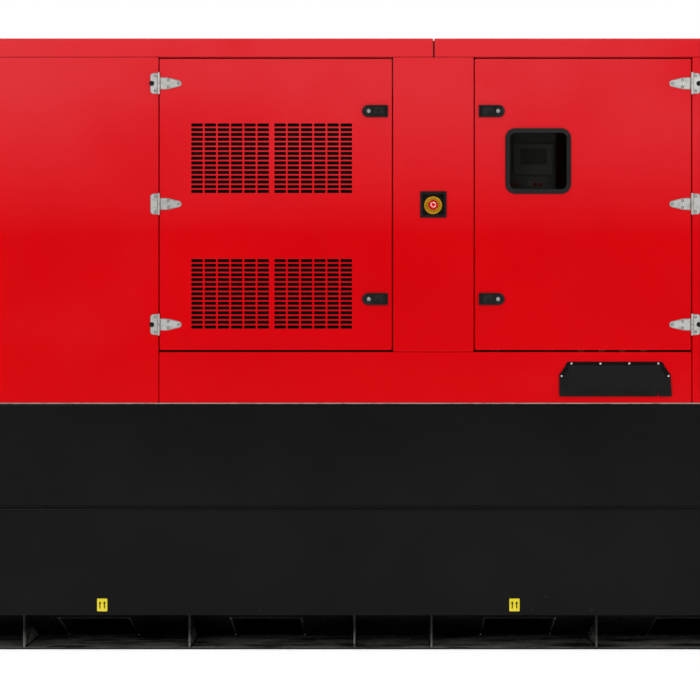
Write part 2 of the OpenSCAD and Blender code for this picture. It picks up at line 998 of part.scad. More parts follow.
// Engine block with crankcase, main bearings, feet and the oil sump below
module engine_block() {
    color(cast) {
        difference() {
            union() {
                translate([block_x0, -engine_w / 2, block_z0])
                    cube([engine_l, engine_w, block_z1 - block_z0]);
                translate([0, 0, fan_z])
                    x_cyl(block_x0 - 30, block_x0 + 1, 45);
                for (sy = [0, 1], x = [mount_xs[0], mount_xs[1]])
                    mirror([0, sy, 0])
                        translate([x - 50, engine_w / 2 - 1, foot_z])
                            cube([100, bearer_y + 41 - engine_w / 2, 90]);
            }
            translate([block_x0 + block_t, -engine_w / 2 + block_t, block_z0 + block_t])
                cube([engine_l - 2 * block_t, engine_w - 2 * block_t, block_z1 - block_z0 - 2 * block_t]);
            translate([0, 0, crank_z])
                x_cyl(block_x0 - 1, block_x1 + 1, journal_r + run_fit);
            translate([0, 0, fan_z])
                x_cyl(block_x0 - 31, block_x0 + 14, fan_shaft_r + run_fit);
        }
        difference() {
            translate([block_x0 + 60, -sump_half, block_z0 - sump_h])
                cube([engine_l - 240, 2 * sump_half, sump_h - touch]);
            translate([block_x0 + 60 + sump_t, sump_t - sump_half, block_z0 - sump_h + sump_t])
                cube([engine_l - 240 - 2 * sump_t, 2 * (sump_half - sump_t), sump_h - 2 * sump_t]);
        }
    }
}

head_half = 170;
head_h = 110;
rocker_half = 110;
rocker_h = 90;

// Cylinder head, and the rocker cover on it
module cylinder_head() {
    color(cast) {
        translate([block_x0 + 20, -head_half, block_z1])
            cube([engine_l - 40, 2 * head_half, head_h]);
        translate([block_x0 + 40, -rocker_half, block_z1 + head_h])
            cube([engine_l - 80, 2 * rocker_half, rocker_h]);
    }
}

throws = 6;
web_t = 50;
throw_pitch = (engine_l - 90 - web_t) / throws;
crank_pulley_r = 95;
web_r = 95;
crank_pin_r = 30;
flywheel_r = 215;
shaft_r = 35;
fan_pulley_r = 75;

// Crankshaft with pulley and flywheel, and the generator shaft and rotor
module crank_train() {
    color(steel)
        translate([0, 0, crank_z])
            union() {
                x_cyl(block_x0 - 90, block_x0 + 50, journal_r);
                x_cyl(block_x0 - 85, block_x0 - 50, crank_pulley_r);
                for (i = [0:throws])
                    translate([block_x0 + 45 + i * throw_pitch, 0, 0])
                        x_cyl(0, web_t, web_r);
                for (i = [0:throws - 1])
                    rotate([i * 120, 0, 0])
                        translate([block_x0 + 45 + i * throw_pitch, 0, 55])
                            x_cyl(web_t - 5, throw_pitch + 5, crank_pin_r);
                x_cyl(block_x1 - 60, block_x1 + 30, journal_r);
                x_cyl(block_x1 + 25, block_x1 + 60, flywheel_r);
                x_cyl(block_x1 + 55, stator_x1 + 90, shaft_r);
                x_cyl(40, 700, rotor_r);
            }
}

fan_hub_r = 80;
blade_w = 110;
blade_t = 8;
blade_turn = 32;    // pitch angle of a blade

// Belt driven fan with eight blades
module cooling_fan() {
    color(black)
        translate([0, 0, fan_z])
            union() {
                x_cyl(fan_x - 10, block_x0 + 10, fan_shaft_r);
                x_cyl(block_x0 - 85, block_x0 - 50, fan_pulley_r);
                x_cyl(fan_x - 12, fan_x + 40, fan_hub_r);
                for (a = [0:45:315])
                    rotate([a, 0, 0])
                        translate([fan_x + 14, 0, fan_hub_r - 10])
                            rotate([0, 0, blade_turn])
                                translate([-blade_t / 2, -blade_w / 2, 0])
                                    cube([blade_t, blade_w, fan_r - fan_hub_r + 4]);
            }
}

radiator_x0 = fan_x - 230;
radiator_top = wall_top - 340;
radiator_half = 570;
radiator_post_z = seam_z + base_t + bearer_t;
header_d = 110;
header_h = 90;

// Radiator core in its frame, with side posts that stand on a cross tube
module radiator() {
    color(black)
        union() {
            translate([radiator_x0 + 20, -521, rail_top + 75])
                cube([44, 1042, radiator_top - rail_top - 164]);
            for (sy = [-1, 1])
                translate([radiator_x0, sy * (radiator_half - 25) - 25, radiator_post_z])
                    cube([90, 50, radiator_top - radiator_post_z]);
            translate([radiator_x0 - 10, -radiator_half, radiator_top - header_h])
                cube([header_d, 2 * radiator_half, header_h]);
            translate([radiator_x0 - 10, -radiator_half, rail_top + 6])
                cube([header_d, 2 * radiator_half, 70]);
        }
}

silencer_z = wall_top - 194;
silencer_x0 = block_x0 - 40;
silencer_x1 = block_x0 + 860;
riser_x = block_x0 + 600;
riser_y = head_half + pipe_r + 3;
silencer_t = 4;
cap_pin_r = 3;
ear_t = 8;
stack_top = roof_top + 74;
cap_pin_x = stack_x + pipe_r + 25;

// Manifold, down pipe, silencer and tail pipe with the ears of the rain cap
module exhaust_system() {
    color("#77716a")
        difference() {
            union() {
                translate([block_x0 + 80, head_half, block_z1 + 20])
                    cube([engine_l - 160, 2 * pipe_r - 16, 70]);
                translate([riser_x, riser_y, block_z1 + 80])
                    cylinder(r = pipe_r, h = silencer_z - block_z1 - 80);
                translate([riser_x, riser_y, silencer_z])
                    rotate([90, 0, 0])
                        cylinder(r = pipe_r - 2, h = riser_y);
                translate([riser_x, riser_y, silencer_z])
                    sphere(r = pipe_r);
                translate([0, 0, silencer_z])
                    x_cyl(silencer_x0, silencer_x1, silencer_r);
                translate([0, 0, silencer_z])
                    x_cyl(stack_x, silencer_x0 + 1, pipe_r);
                translate([stack_x, 0, silencer_z])
                    sphere(r = pipe_r);
                translate([stack_x, 0, silencer_z])
                    cylinder(r = pipe_r, h = stack_top - silencer_z);
                for (sy = [-1, 1]) {
                    translate([stack_x + pipe_r - 3, sy * 16 - ear_t / 2, stack_top - 40])
                        cube([39, ear_t, 39]);
                    translate([stack_x + pipe_r + 15, sy * 16 - ear_t / 2, stack_top - 2])
                        cube([21, ear_t, 14]);
                }
            }
            translate([0, 0, silencer_z])
                x_cyl(silencer_x0 + silencer_t, silencer_x1 - silencer_t, silencer_r - silencer_t);
            translate([stack_x, 0, silencer_z])
                cylinder(r = pipe_r - silencer_t, h = 600);
            translate([cap_pin_x, 0, stack_top + 3])
                rotate([90, 0, 0])
                    cylinder(r = cap_pin_r + run_fit, h = 60, center = true);
        }
}

// Round flap over the tail pipe, with its arm and hinge pin
module rain_cap() {
    color(steel)
        union() {
            translate([stack_x, 0, stack_top + 1])
                cylinder(r = pipe_r + 6, h = 4);
            translate([stack_x + pipe_r - 4, -10, stack_top + 1])
                cube([34, 20, 4]);
            translate([cap_pin_x, 0, stack_top + 3])
                rotate([90, 0, 0])
                    cylinder(r = cap_pin_r, h = 38, center = true);
        }
}

stator_x0 = -10;
stator_x1 = 780;

// Generator housing with wound core, end bearing, feet and terminal box
module generator_stator() {
    color("#2f4f46")
        difference() {
            union() {
                translate([0, 0, crank_z])
                    x_cyl(block_x1, stator_x1 + 60, stator_r);
                for (sy = [-1, 1])
                    translate([mount_xs[2] - 60, sy * (bearer_y - 60) - 100, foot_z])
                        cube([120, 200, 140]);
                translate([120, -200, crank_z + stator_r - 60])
                    cube([460, 400, 190]);
            }
            translate([0, 0, crank_z]) {
                x_cyl(block_x1 - 1, stator_x0, stator_r - 22);
                x_cyl(stator_x0 - 1, stator_x1 - 40, rotor_r + 4);
                x_cyl(stator_x1 - 41, stator_x1 + 30, 120);
                x_cyl(stator_x1 + 29, stator_x1 + 61, shaft_r + run_fit);
            }
            translate([126, -194, crank_z + stator_r + 10])
                cube([448, 388, 110]);
        }
}

cabinet_x0 = window_cx - 190;
cabinet_x1 = window_cx + 82;
cabinet_y0 = front_y + 100;
cabinet_d = 260;
cabinet_t = 3;
cabinet_leg = 40;
cabinet_z0 = window_cz - 420;
cabinet_z1 = window_cz + 280;

// Control cabinet on two legs; its front opening takes the control plate
module control_cabinet() {
    color(grey)
        difference() {
            union() {
                translate([cabinet_x0, cabinet_y0, cabinet_z0])
                    cube([cabinet_x1 - cabinet_x0, cabinet_d, cabinet_z1 - cabinet_z0]);
                for (x = [cabinet_x0 + 5, cabinet_x1 - 5 - cabinet_leg])
                    translate([x, cabinet_y0, base_top])
                        cube([cabinet_leg, 26, cabinet_z0 - base_top + 1]);
            }
            translate([cabinet_x0 + cabinet_t, cabinet_y0 + cabinet_t, cabinet_z0 + cabinet_t])
                cube([cabinet_x1 - cabinet_x0 - 2 * cabinet_t, cabinet_d - 2 * cabinet_t,
                      cabinet_z1 - cabinet_z0 - 2 * cabinet_t]);
            translate([cabinet_x0 + 25, cabinet_y0 - 1, window_cz - 95])
                cube([cabinet_x1 - cabinet_x0 - 50, 5, 230]);
        }
}

key_pos = [window_cx - 24, window_cz - 79];
key_r = 8;

// Plate with the controller module and the lock barrel of the key switch
module control_plate() {
    color("#9da1a3")
        translate([0, cabinet_y0, 0])
            difference() {
                union() {
                    translate([0, -3, 0])
                        slab_xz(cabinet_x0 + 10, cabinet_x1 - 10,
                                window_cz - 110, window_cz + 150, 3);
                    translate([0, -16, 0])
                        slab_xz(window_cx - 74, window_cx + 54,
                                window_cz - 29, window_cz + 67, 14);
                    translate([key_pos[0], 0, key_pos[1]])
                        rotate([90, 0, 0])
                            cylinder(r = 13, h = 12);
                }
                translate([key_pos[0], -14, key_pos[1]])
                    rotate([-90, 0, 0])
                        cylinder(r = key_r + run_fit, h = 14.5);
            }
}

module key_switch() {
    color(steel)
        translate([key_pos[0], cabinet_y0, key_pos[1]])
            union() {
                translate([0, -14, 0])
                    rotate([-90, 0, 0])
                        cylinder(r = key_r, h = 14);
                translate([-2, -34, -9])
                    cube([4, 21, 18]);
            }
}

board_t = 12;
board_y = front_y + flange_w - board_t;
board_x0 = outlet_x0 + 30;
board_x1 = outlet_x1;
breaker_pos = [board_x0 + 110, wall_z0 + 400];
breaker_half = [70, 90];
breaker_d = 50;
spindle_r = 6;
stud_r = 6;
stud_l = 44;
stud_pitch = 85;

// Output board: back plate, bus studs over the cable outlet and the breaker
module output_board() {
    color("#6e3a2a") {
        translate([0, board_y, 0])
            slab_xz(board_x0, board_x1, base_top, wall_z0 + 520, board_t);
        for (i = [0:3])
            translate([board_x0 + 50 + i * stud_pitch, board_y, outlet_z1 + 50])
                rotate([90, 0, 0])
                    cylinder(r = stud_r, h = stud_l);
        difference() {
            translate([0, board_y - breaker_d, 0])
                slab_xz(breaker_pos[0] - breaker_half[0], breaker_pos[0] + breaker_half[0],
                        breaker_pos[1] - breaker_half[1], breaker_pos[1] + breaker_half[1], breaker_d);
            translate([breaker_pos[0], board_y - breaker_d - 1, breaker_pos[1]])
                rotate([-90, 0, 0])
                    cylinder(r = spindle_r + run_fit, h = 21);
        }
    }
}

// Turning handle of the main breaker
module breaker_handle() {
    color(black)
        translate([breaker_pos[0], board_y - breaker_d - touch, breaker_pos[1]])
            rotate([90, 0, 0])
                union() {
                    translate([0, 0, -19])
                        cylinder(r = spindle_r, h = 20);
                    cylinder(r = 24, h = 8);
                    translate([-8, -32, 7])
                        cube([16, 64, 14]);
                }
}

battery_size = [200, 175, 190];

// Starting battery on the cross tube beside the generator
module battery() {
    color(black)
        translate([bearer_xs[2] - battery_size[0] / 2, front_y + 40, seam_z + base_t + bearer_t])
            union() {
                cube(battery_size);
                for (x = [35, battery_size[0] - 35])
                    translate([x, 40, battery_size[2] - 1])
                        cylinder(r = 9, h = 20);
            }
}

skid_side_front();
skid_side_rear();
base_ends();
skid_gussets();
fork_pocket_tubes();
fork_markers();
fuel_tank();
fuel_cap();
upper_rail_front();
upper_rail_rear();
engine_bearers();
engine_mounts();
canopy_gasket();
joint_strips();
front_left_panel();
front_right_panel();
front_post();
front_sill();
rear_panels();
left_end_panel();
right_end_panel();
roof_left();
roof_right();
louvre_door();
louvre_door_liner();
window_door();
window_seal();
window_glass();
service_door();
hinge_leaves();
louvre_door_straps();
window_door_straps();
service_door_straps();
louvre_door_latches();
window_door_latches();
service_door_latches();
louvre_paddle_top();
louvre_paddle_low();
window_paddle_top();
window_paddle_low();
service_paddle_top();
service_paddle_low();
stop_bezel();
stop_head();
flap_strip();
cable_flap();
engine_block();
cylinder_head();
crank_train();
cooling_fan();
radiator();
exhaust_system();
rain_cap();
generator_stator();
control_cabinet();
control_plate();
key_switch();
output_board();
breaker_handle();
battery();
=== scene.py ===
"""Looks of the engine driven power set: red canopy, black skid base, fittings and machinery.

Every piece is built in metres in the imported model's own frame: +X along the set, -Y out of the
service side, +Z up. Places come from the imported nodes' boxes, so a piece sits where its node is.
"""
import math

import bmesh
import bpy
from mathutils import Matrix, Vector


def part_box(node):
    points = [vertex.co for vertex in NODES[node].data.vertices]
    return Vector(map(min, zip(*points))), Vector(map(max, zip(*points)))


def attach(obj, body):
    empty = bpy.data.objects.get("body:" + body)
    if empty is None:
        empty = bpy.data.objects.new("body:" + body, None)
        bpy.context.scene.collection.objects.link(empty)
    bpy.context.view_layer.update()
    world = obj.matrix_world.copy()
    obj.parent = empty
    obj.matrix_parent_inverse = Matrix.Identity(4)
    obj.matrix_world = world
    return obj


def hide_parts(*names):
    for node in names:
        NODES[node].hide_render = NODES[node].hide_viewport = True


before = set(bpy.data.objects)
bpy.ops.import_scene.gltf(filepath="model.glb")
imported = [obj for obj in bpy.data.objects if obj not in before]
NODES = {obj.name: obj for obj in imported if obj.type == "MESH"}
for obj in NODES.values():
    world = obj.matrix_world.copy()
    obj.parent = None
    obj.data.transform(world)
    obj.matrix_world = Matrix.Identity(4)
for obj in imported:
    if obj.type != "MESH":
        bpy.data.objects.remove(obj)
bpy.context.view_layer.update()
MM = 0.001


# -------------------------------- places taken from the frame


def low(node):
    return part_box(node)[0]


def high(node):
    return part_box(node)[1]


def middle(node):
    lo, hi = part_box(node)
    return (lo + hi) / 2


def words(node):
    return node.replace("_", " ")


def in_mm(*rows):
    """Points written in millimetres, as metres."""
    return [tuple(value * MM for value in row) for row in rows]


FRONT_Y = low("front_left_panel").y
REAR_Y = high("rear_panels").y
SHEET = 3 * MM
BEND = 5 * MM


def shift(x, y, z):
    return Matrix.Translation((x, y, z))


IN_PLACE = Matrix.Identity(4)
MIRROR_Y = Matrix.Scale(-1, 4, Vector((0, 1, 0)))
TURN_OUT = Matrix.Rotation(math.radians(90), 4, "X")


# -------------------------------- mesh helpers


def rounded_rect(w, h, r, steps=6):
    """Outline of a rectangle with round corners, counter-clockwise, centred on the origin."""
    pts = []
    for cx, cz, start in ((w / 2 - r, h / 2 - r, 0), (r - w / 2, h / 2 - r, 90),
                          (r - w / 2, r - h / 2, 180), (w / 2 - r, r - h / 2, 270)):
        for i in range(steps + 1):
            a = math.radians(start + 90 * i / steps)
            pts.append((cx + r * math.cos(a), cz + r * math.sin(a)))
    return pts


def turned(r, *rows):
    """A profile for the lathe: what is added to the radius, and the height; None is on the axis."""
    return [(0 if grow is None else r + grow * MM, height * MM) for grow, height in rows]


def circle_pts(r, steps=32, cx=0.0, cz=0.0):
    return [(cx + r * math.cos(2 * math.pi * i / steps), cz + r * math.sin(2 * math.pi * i / steps))
            for i in range(steps)]


def add_box(bm, lo, hi, place=IN_PLACE):
    """A closed box between two corners, put in its place by a matrix."""
    corners = [(x, y, z) for x in (lo[0], hi[0]) for y in (lo[1], hi[1]) for z in (lo[2], hi[2])]
    v = [bm.verts.new(place @ Vector(corner)) for corner in corners]
    for f in ((0, 1, 3, 2), (4, 6, 7, 5), (0, 4, 5, 1), (2, 3, 7, 6), (0, 2, 6, 4), (1, 5, 7, 3)):
        bm.faces.new([v[i] for i in f])


def add_prism(bm, outline, place, y0, y1):
    """An outline in XZ extruded from y0 to y1, then put in its place by a matrix."""
    front = [bm.verts.new(place @ Vector((x, y0, z))) for x, z in outline]
    back = [bm.verts.new(place @ Vector((x, y1, z))) for x, z in outline]
    n = len(outline)
    bm.faces.new(front)
    bm.faces.new(back[::-1])
    for i in range(n):
        j = (i + 1) % n
        bm.faces.new((front[j], front[i], back[i], back[j]))


def add_lathe(bm, profile, place, steps=32):
    """A (radius, height) profile turned about the local Z axis; ends of zero radius are closed."""
    rings = []
    for r, h in profile:
        if r < 1e-6:
            rings.append([bm.verts.new(place @ Vector((0, 0, h)))])
            continue
        rings.append([bm.verts.new(place @ Vector((r * math.cos(a), r * math.sin(a), h)))
                      for a in (2 * math.pi * i / steps for i in range(steps))])
    for lower, upper in zip(rings, rings[1:]):
        for i in range(steps):
            j = (i + 1) % steps
            ring = [lower[i % len(lower)], lower[j % len(lower)],
                    upper[j % len(upper)], upper[i % len(upper)]]
            face = list(dict.fromkeys(ring))
            if len(face) > 2:
                bm.faces.new(face)


def add_sweep(bm, path, outline, closed=False, up=Vector((0, 0, 1)), caps=True):
    """An outline carried along a list of points; its first axis lies level, its second upwards."""
    pts = [Vector(p) for p in path]
    n = len(pts)
    rings = []
    for i, p in enumerate(pts):
        before = pts[i - 1] if closed or i > 0 else p
        after = pts[(i + 1) % n] if closed or i < n - 1 else p
        along = (after - before).normalized()
        side = along.cross(up)
        if side.length < 1e-4:
            side = along.cross(Vector((1, 0, 0)))
        side.normalize()
        top = side.cross(along)
        rings.append([bm.verts.new(p + side * a + top * b) for a, b in outline])
    m = len(outline)
    for i in range(n if closed else n - 1):
        a, b = rings[i], rings[(i + 1) % n]
        for k in range(m):
            bm.faces.new((a[k], a[(k + 1) % m], b[(k + 1) % m], b[k]))
    if caps and not closed:
        bm.faces.new(rings[0][::-1])
        bm.faces.new(rings[-1])


def smooth_path(points, steps=8, closed=False):
    """A Catmull-Rom curve through the points."""
    pts = [Vector(p) for p in points]
    n = len(pts)
    out = []
    for i in range(n if closed else n - 1):
        if closed:
            p0, p1, p2, p3 = (pts[(i + k) % n] for k in (-1, 0, 1, 2))
        else:
            p0, p1, p2, p3 = pts[max(i - 1, 0)], pts[i], pts[i + 1], pts[min(i + 2, n - 1)]
        for s in range(steps):
            t = s / steps
            out.append(0.5 * ((2 * p1) + (p2 - p0) * t + (2 * p0 - 5 * p1 + 4 * p2 - p3) * t * t
                              + (3 * p1 - p0 - 3 * p2 + p3) * t * t * t))
    if not closed:
        out.append(pts[-1])
    return out


def towards(direction, at):
    """Matrix that turns local +Z towards a direction and moves the origin to a point."""
    turn = Vector(direction).to_track_quat("Z", "Y").to_matrix().to_4x4()
    return shift(*at) @ turn


def mirror_y(flip):
    return MIRROR_Y if flip else IN_PLACE


def flip_over(mesh):
    """Puts a mesh on the other side of the set."""
    mesh.transform(MIRROR_Y)
    mesh.flip_normals()


def make_mesh(name, bm, material, angle=35.0):
    """A mesh object at the origin, with outward normals and sharp edges kept."""
    bmesh.ops.remove_doubles(bm, verts=bm.verts, dist=1e-6)
    bmesh.ops.recalc_face_normals(bm, faces=bm.faces)
    mesh = bpy.data.meshes.new(name)
    bm.to_mesh(mesh)
    bm.free()
    mesh.shade_smooth()
    mesh.set_sharp_from_angle(angle=math.radians(angle))
    obj = bpy.data.objects.new(name, mesh)
    bpy.context.scene.collection.objects.link(obj)
    mesh.materials.append(material)
    return obj


def round_edges(obj, width, segments=2, angle=40.0):
    """Live bevel over the sharp edges of a piece."""
    mod = obj.modifiers.new("round edges", "BEVEL")
    mod.width = width
    mod.segments = segments
    mod.limit_method = "ANGLE"
    mod.angle_limit = math.radians(angle)
    mod.harden_normals = True
    return obj


def place_piece(obj, body, slot, *replaced):
    """Gives a finished piece its body and the nodes that it stands for; the finish slot is not used."""
    obj.name = obj.name.replace(" ", "_")
    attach(obj, body)
    if replaced:
        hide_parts(*replaced)
    return obj


def piece(name, bm, material, body, slot, *replaced, angle=35.0, rounding=0.0):
    """A mesh made, rounded where asked and given its body and nodes in one go."""
    obj = make_mesh(name, bm, material, angle)
    if rounding:
        round_edges(obj, rounding)
    return place_piece(obj, body, slot, *replaced)


def plain_copy(obj, name):
    """The evaluated mesh of an object as a new plain object; the old one is removed."""
    depsgraph = bpy.context.evaluated_depsgraph_get()
    mesh = bpy.data.meshes.new_from_object(obj.evaluated_get(depsgraph))
    mesh.name = name
    copy = bpy.data.objects.new(name, mesh)
    bpy.context.scene.collection.objects.link(copy)
    bpy.data.objects.remove(obj)
    return copy


def apply_modifiers(obj):
    name = obj.name
    obj.name = name + " source"
    return plain_copy(obj, name)


# -------------------------------- materials

# bevel samples of the edge layer, used for painted highlights, painted shade and lighter edges
EDGE_SAMPLES = 4


def wired(tree, kind, inputs, operation=None):
    """A new node whose inputs are set to values or joined to other nodes' outputs."""
    node = tree.nodes.new(kind)
    if operation:
        node.operation = operation
    for socket, value in inputs.items():
        if isinstance(value, bpy.types.NodeSocket):
            tree.links.new(value, node.inputs[socket])
        else:
            node.inputs[socket].default_value = value
    return node


class Finish:
    """A procedural material being wired up around one principled shader."""

    def __init__(self, name, color, roughness, metallic=0.0):
        self.material = bpy.data.materials.new(name)
        self.material.use_nodes = True
        self.tree = self.material.node_tree
        self.shader = self.tree.nodes["Principled BSDF"]
        self.shader.inputs["Base Color"].default_value = (*color, 1.0)
        self.shader.inputs["Roughness"].default_value = roughness
        self.shader.inputs["Metallic"].default_value = metallic
        self.place = self.tree.nodes.new("ShaderNodeTexCoord")
        self.color = color
        self.bump_from = None

    def set(self, **sockets):
        for socket, value in sockets.items():
            self.shader.inputs[words(socket)].default_value = value
        return self

    def noise(self, scale, detail=4.0, stretch=(1, 1, 1), rough=0.55):
        where = {"Vector": self.place.outputs["Object"], "Scale": stretch}
        mapping = wired(self.tree, "ShaderNodeMapping", where)
        grain = {"Vector": mapping.outputs["Vector"], "Scale": scale, "Detail": detail, "Roughness": rough}
        return wired(self.tree, "ShaderNodeTexNoise", grain).outputs["Fac"]

    def ramp(self, source, stops):
        """A colour ramp; stops are (position, grey or colour) pairs."""
        node = self.tree.nodes.new("ShaderNodeValToRGB")
        band = node.color_ramp
        while len(band.elements) < len(stops):
            band.elements.new(0.5)
        for element, (position, value) in zip(band.elements, stops):
            element.position = position
            element.color = (*value, 1.0) if isinstance(value, tuple) else (value, value, value, 1.0)
        self.tree.links.new(source, node.inputs["Fac"])
        return node.outputs["Color"]

    def tint(self, source, other, low_stop, high_stop):
        """Base colour runs from the plain one to another one as the source rises."""
        out = self.ramp(source, [(low_stop, self.color), (high_stop, other)])
        self.tree.links.new(out, self.shader.inputs["Base Color"])
        return self

    def layer(self, source, other, low_stop, high_stop):
        """Lays another colour over what the base colour already is, where the source is high."""
        mix = self.tree.nodes.new("ShaderNodeMix")
        mix.data_type = "RGBA"
        under = self.shader.inputs["Base Color"]
        if under.is_linked:
            self.tree.links.new(under.links[0].from_socket, mix.inputs["A"])
        else:
            mix.inputs["A"].default_value = under.default_value
        mix.inputs["B"].default_value = (*other, 1.0)
        self.tree.links.new(self.ramp(source, [(low_stop, 0.0), (high_stop, 1.0)]), mix.inputs["Factor"])
        self.tree.links.new(mix.outputs["Result"], under)
        return self

    def gloss(self, source, low_value, high_value, low_stop=0.35, high_stop=0.65):
        out = self.ramp(source, [(low_stop, low_value), (high_stop, high_value)])
        self.tree.links.new(out, self.shader.inputs["Roughness"])
        return self

    def bump(self, source, depth, strength=1.0):
        """Height in metres; further calls add finer or coarser relief."""
        relief = {"Distance": depth, "Strength": strength, "Height": source}
        node = wired(self.tree, "ShaderNodeBump", relief)
        if self.bump_from:
            self.tree.links.new(self.bump_from, node.inputs["Normal"])
        self.bump_from = node.outputs["Normal"]
        self.tree.links.new(self.bump_from, self.shader.inputs["Normal"])
        return self

    def height_fade(self, z0, z1):
        """0 below z0, 1 above z1, over the object's own height."""
        split = wired(self.tree, "ShaderNodeSeparateXYZ", {"Vector": self.place.outputs["Object"]})
        span = {"Value": split.outputs["Z"], "From Min": z0, "From Max": z1}
        return wired(self.tree, "ShaderNodeMapRange", span).outputs["Result"]

    def edges(self, other, radius=0.002, low_stop=0.02, high_stop=0.12):
        """Another colour along sharp edges, where the bevelled normal leaves the true one: painted highlight
        on the pockets, painted shade on the stainless, lighter edges on the enamel and the black castings.
        """
        bevel = wired(self.tree, "ShaderNodeBevel", {"Radius": radius})
        bevel.samples = EDGE_SAMPLES
        true = wired(self.tree, "ShaderNodeNewGeometry", {})
        pair = {0: bevel.outputs["Normal"], 1: true.outputs["Normal"]}
        diff = wired(self.tree, "ShaderNodeVectorMath", pair, "DISTANCE")
        return self.layer(diff.outputs["Value"], other, low_stop, high_stop)


def canopy_paint():
    """Gloss red powder coat: orange peel, slight waves of the sheet, paler patches at random, and a painted
    sheen that makes it lighter near the top.
    """
    f = Finish("canopy red powder coat", (0.64, 0.0004, 0.0030), 0.32)
    f.set(Coat_Weight=0.05, Coat_Roughness=0.10, Coat_IOR=1.4, Specular_IOR_Level=0.04)
    f.tint(f.noise(0.9, 3.0), (0.70, 0.0010, 0.0040), 0.35, 0.70)
    # painted sheen: paler towards the top, standing in for bright surroundings mirrored in the gloss
    f.layer(f.height_fade(1.66, 2.24), (0.69, 0.026, 0.033), 0.0, 1.0)
    f.layer(f.noise(0.75, 3.0, (1, 1, 1.3)), (0.66, 0.006, 0.011), 0.50, 0.72)
    f.gloss(f.noise(6.0, 5.0), 0.28, 0.40)
    f.bump(f.noise(1.1, 1.5), 0.0016, 0.5)
    f.bump(f.noise(420.0, 2.0), 0.00006, 0.35)
    return f.material


def base_paint():
    """Gloss black paint on the base: faint rolls of the sheet, fine peel and a little dust in streaks all
    over.
    """
    f = Finish("base black gloss paint", (0.0036, 0.0036, 0.0035), 0.26)
    f.set(Coat_Weight=0.03, Coat_Roughness=0.06, Specular_IOR_Level=0.07)
    f.tint(f.noise(1.4, 4.0), (0.0056, 0.0055, 0.0051), 0.40, 0.70)
    f.layer(f.noise(9.0, 8.0, (1, 1, 2.5), 0.7), (0.0095, 0.0092, 0.0085), 0.62, 0.95)
    f.gloss(f.noise(4.0, 6.0), 0.20, 0.36)
    f.bump(f.noise(1.6, 2.0, (1, 1, 0.6)), 0.0012, 0.5)
    f.bump(f.noise(300.0, 2.0), 0.00008, 0.4)
    return f.material


def thick_paint():
    """Brushed-on black chassis paint of the skid's feet: glossy, with sags and crinkles, paler towards the
    bottom, and a painted contact shadow along the lowest few millimetres.
    """
    f = Finish("skid brushed black paint", (0.008, 0.008, 0.0078), 0.20)
    f.set(Coat_Weight=0.04, Coat_Roughness=0.08, Specular_IOR_Level=0.08)
    f.layer(f.height_fade(0.080, 0.020), (0.135, 0.132, 0.124), 0.0, 1.0)
    f.layer(f.noise(7.0, 7.0, (0.5, 2.2, 2.2), 0.62), (0.016, 0.016, 0.015), 0.46, 0.60)
    # painted contact shadow: near black below 7.8 mm, where the foot meets the floor
    f.layer(f.height_fade(0.0078, 0.0060), (0.004, 0.004, 0.004), 0.0, 1.0)
    f.gloss(f.noise(11.0, 4.0), 0.12, 0.34)
    f.bump(f.noise(22.0, 5.0, (1, 1.6, 1)), 0.0030, 0.9)
    f.bump(f.noise(120.0, 3.0), 0.0004, 0.6)
    return f.material


def pocket_paint():
    """Thin dull black inside the fork pockets, rubbed by forks, with painted highlights as pale lines along
    the tube edges.
    """
    f = Finish("dull black of the pockets", (0.004, 0.004, 0.004), 0.75)
    f.set(Specular_IOR_Level=0.05)
    f.layer(f.noise(18.0, 6.0, (0.3, 1, 1)), (0.011, 0.010, 0.009), 0.60, 0.90)
    # painted highlights: pale lines along every sharp edge of the tubes
    f.edges((0.11, 0.108, 0.10), 0.0035, 0.06, 0.30)
    f.bump(f.noise(260.0, 3.0), 0.0002, 0.5)
    return f.material


def polished_steel():
    """Polished stainless: fine grinding lines, light smears, and painted shade that darkens every sharp edge
    into a dark outline.
    """
    f = Finish("polished stainless steel", (0.70, 0.70, 0.67), 0.30, 0.78)
    f.tint(f.noise(45.0, 4.0), (0.46, 0.465, 0.44), 0.45, 0.80)
    f.gloss(f.noise(300.0, 3.0, (1, 1, 0.15)), 0.28, 0.34)
    f.bump(f.noise(900.0, 2.0, (1, 1, 0.1)), 0.00001, 0.2)
    # painted shade: dark outlines along the sharp edges of hinge plates and lock barrels
    f.edges((0.20, 0.20, 0.195), 0.0022, 0.08, 0.4)
    return f.material


def zinc_steel():
    f = Finish("zinc plated steel", (0.66, 0.66, 0.63), 0.32, 0.85)
    f.tint(f.noise(150.0, 4.0), (0.46, 0.46, 0.44), 0.45, 0.70)
    f.gloss(f.noise(80.0, 3.0), 0.22, 0.42)
    f.bump(f.noise(600.0, 2.0), 0.00004, 0.5)
    return f.material


def machined_steel():
    f = Finish("machined steel", (0.50, 0.49, 0.47), 0.28, 1.0)
    f.tint(f.noise(12.0, 5.0), (0.34, 0.32, 0.30), 0.45, 0.75)
    f.gloss(f.noise(300.0, 3.0, (8, 1, 1)), 0.20, 0.40)
    f.bump(f.noise(700.0, 2.0, (6, 1, 1)), 0.00004, 0.5)
    return f.material


def satin_black():
    """Satin black coat on the latches and other zinc castings."""
    f = Finish("satin black zinc casting", (0.0050, 0.0056, 0.0058), 0.36)
    f.set(Specular_IOR_Level=0.20)
    f.gloss(f.noise(90.0, 4.0), 0.30, 0.46)
    f.bump(f.noise(1500.0, 2.0), 0.00005, 0.5)
    f.edges((0.028, 0.030, 0.030), 0.0012, 0.10, 0.45)
    return f.material


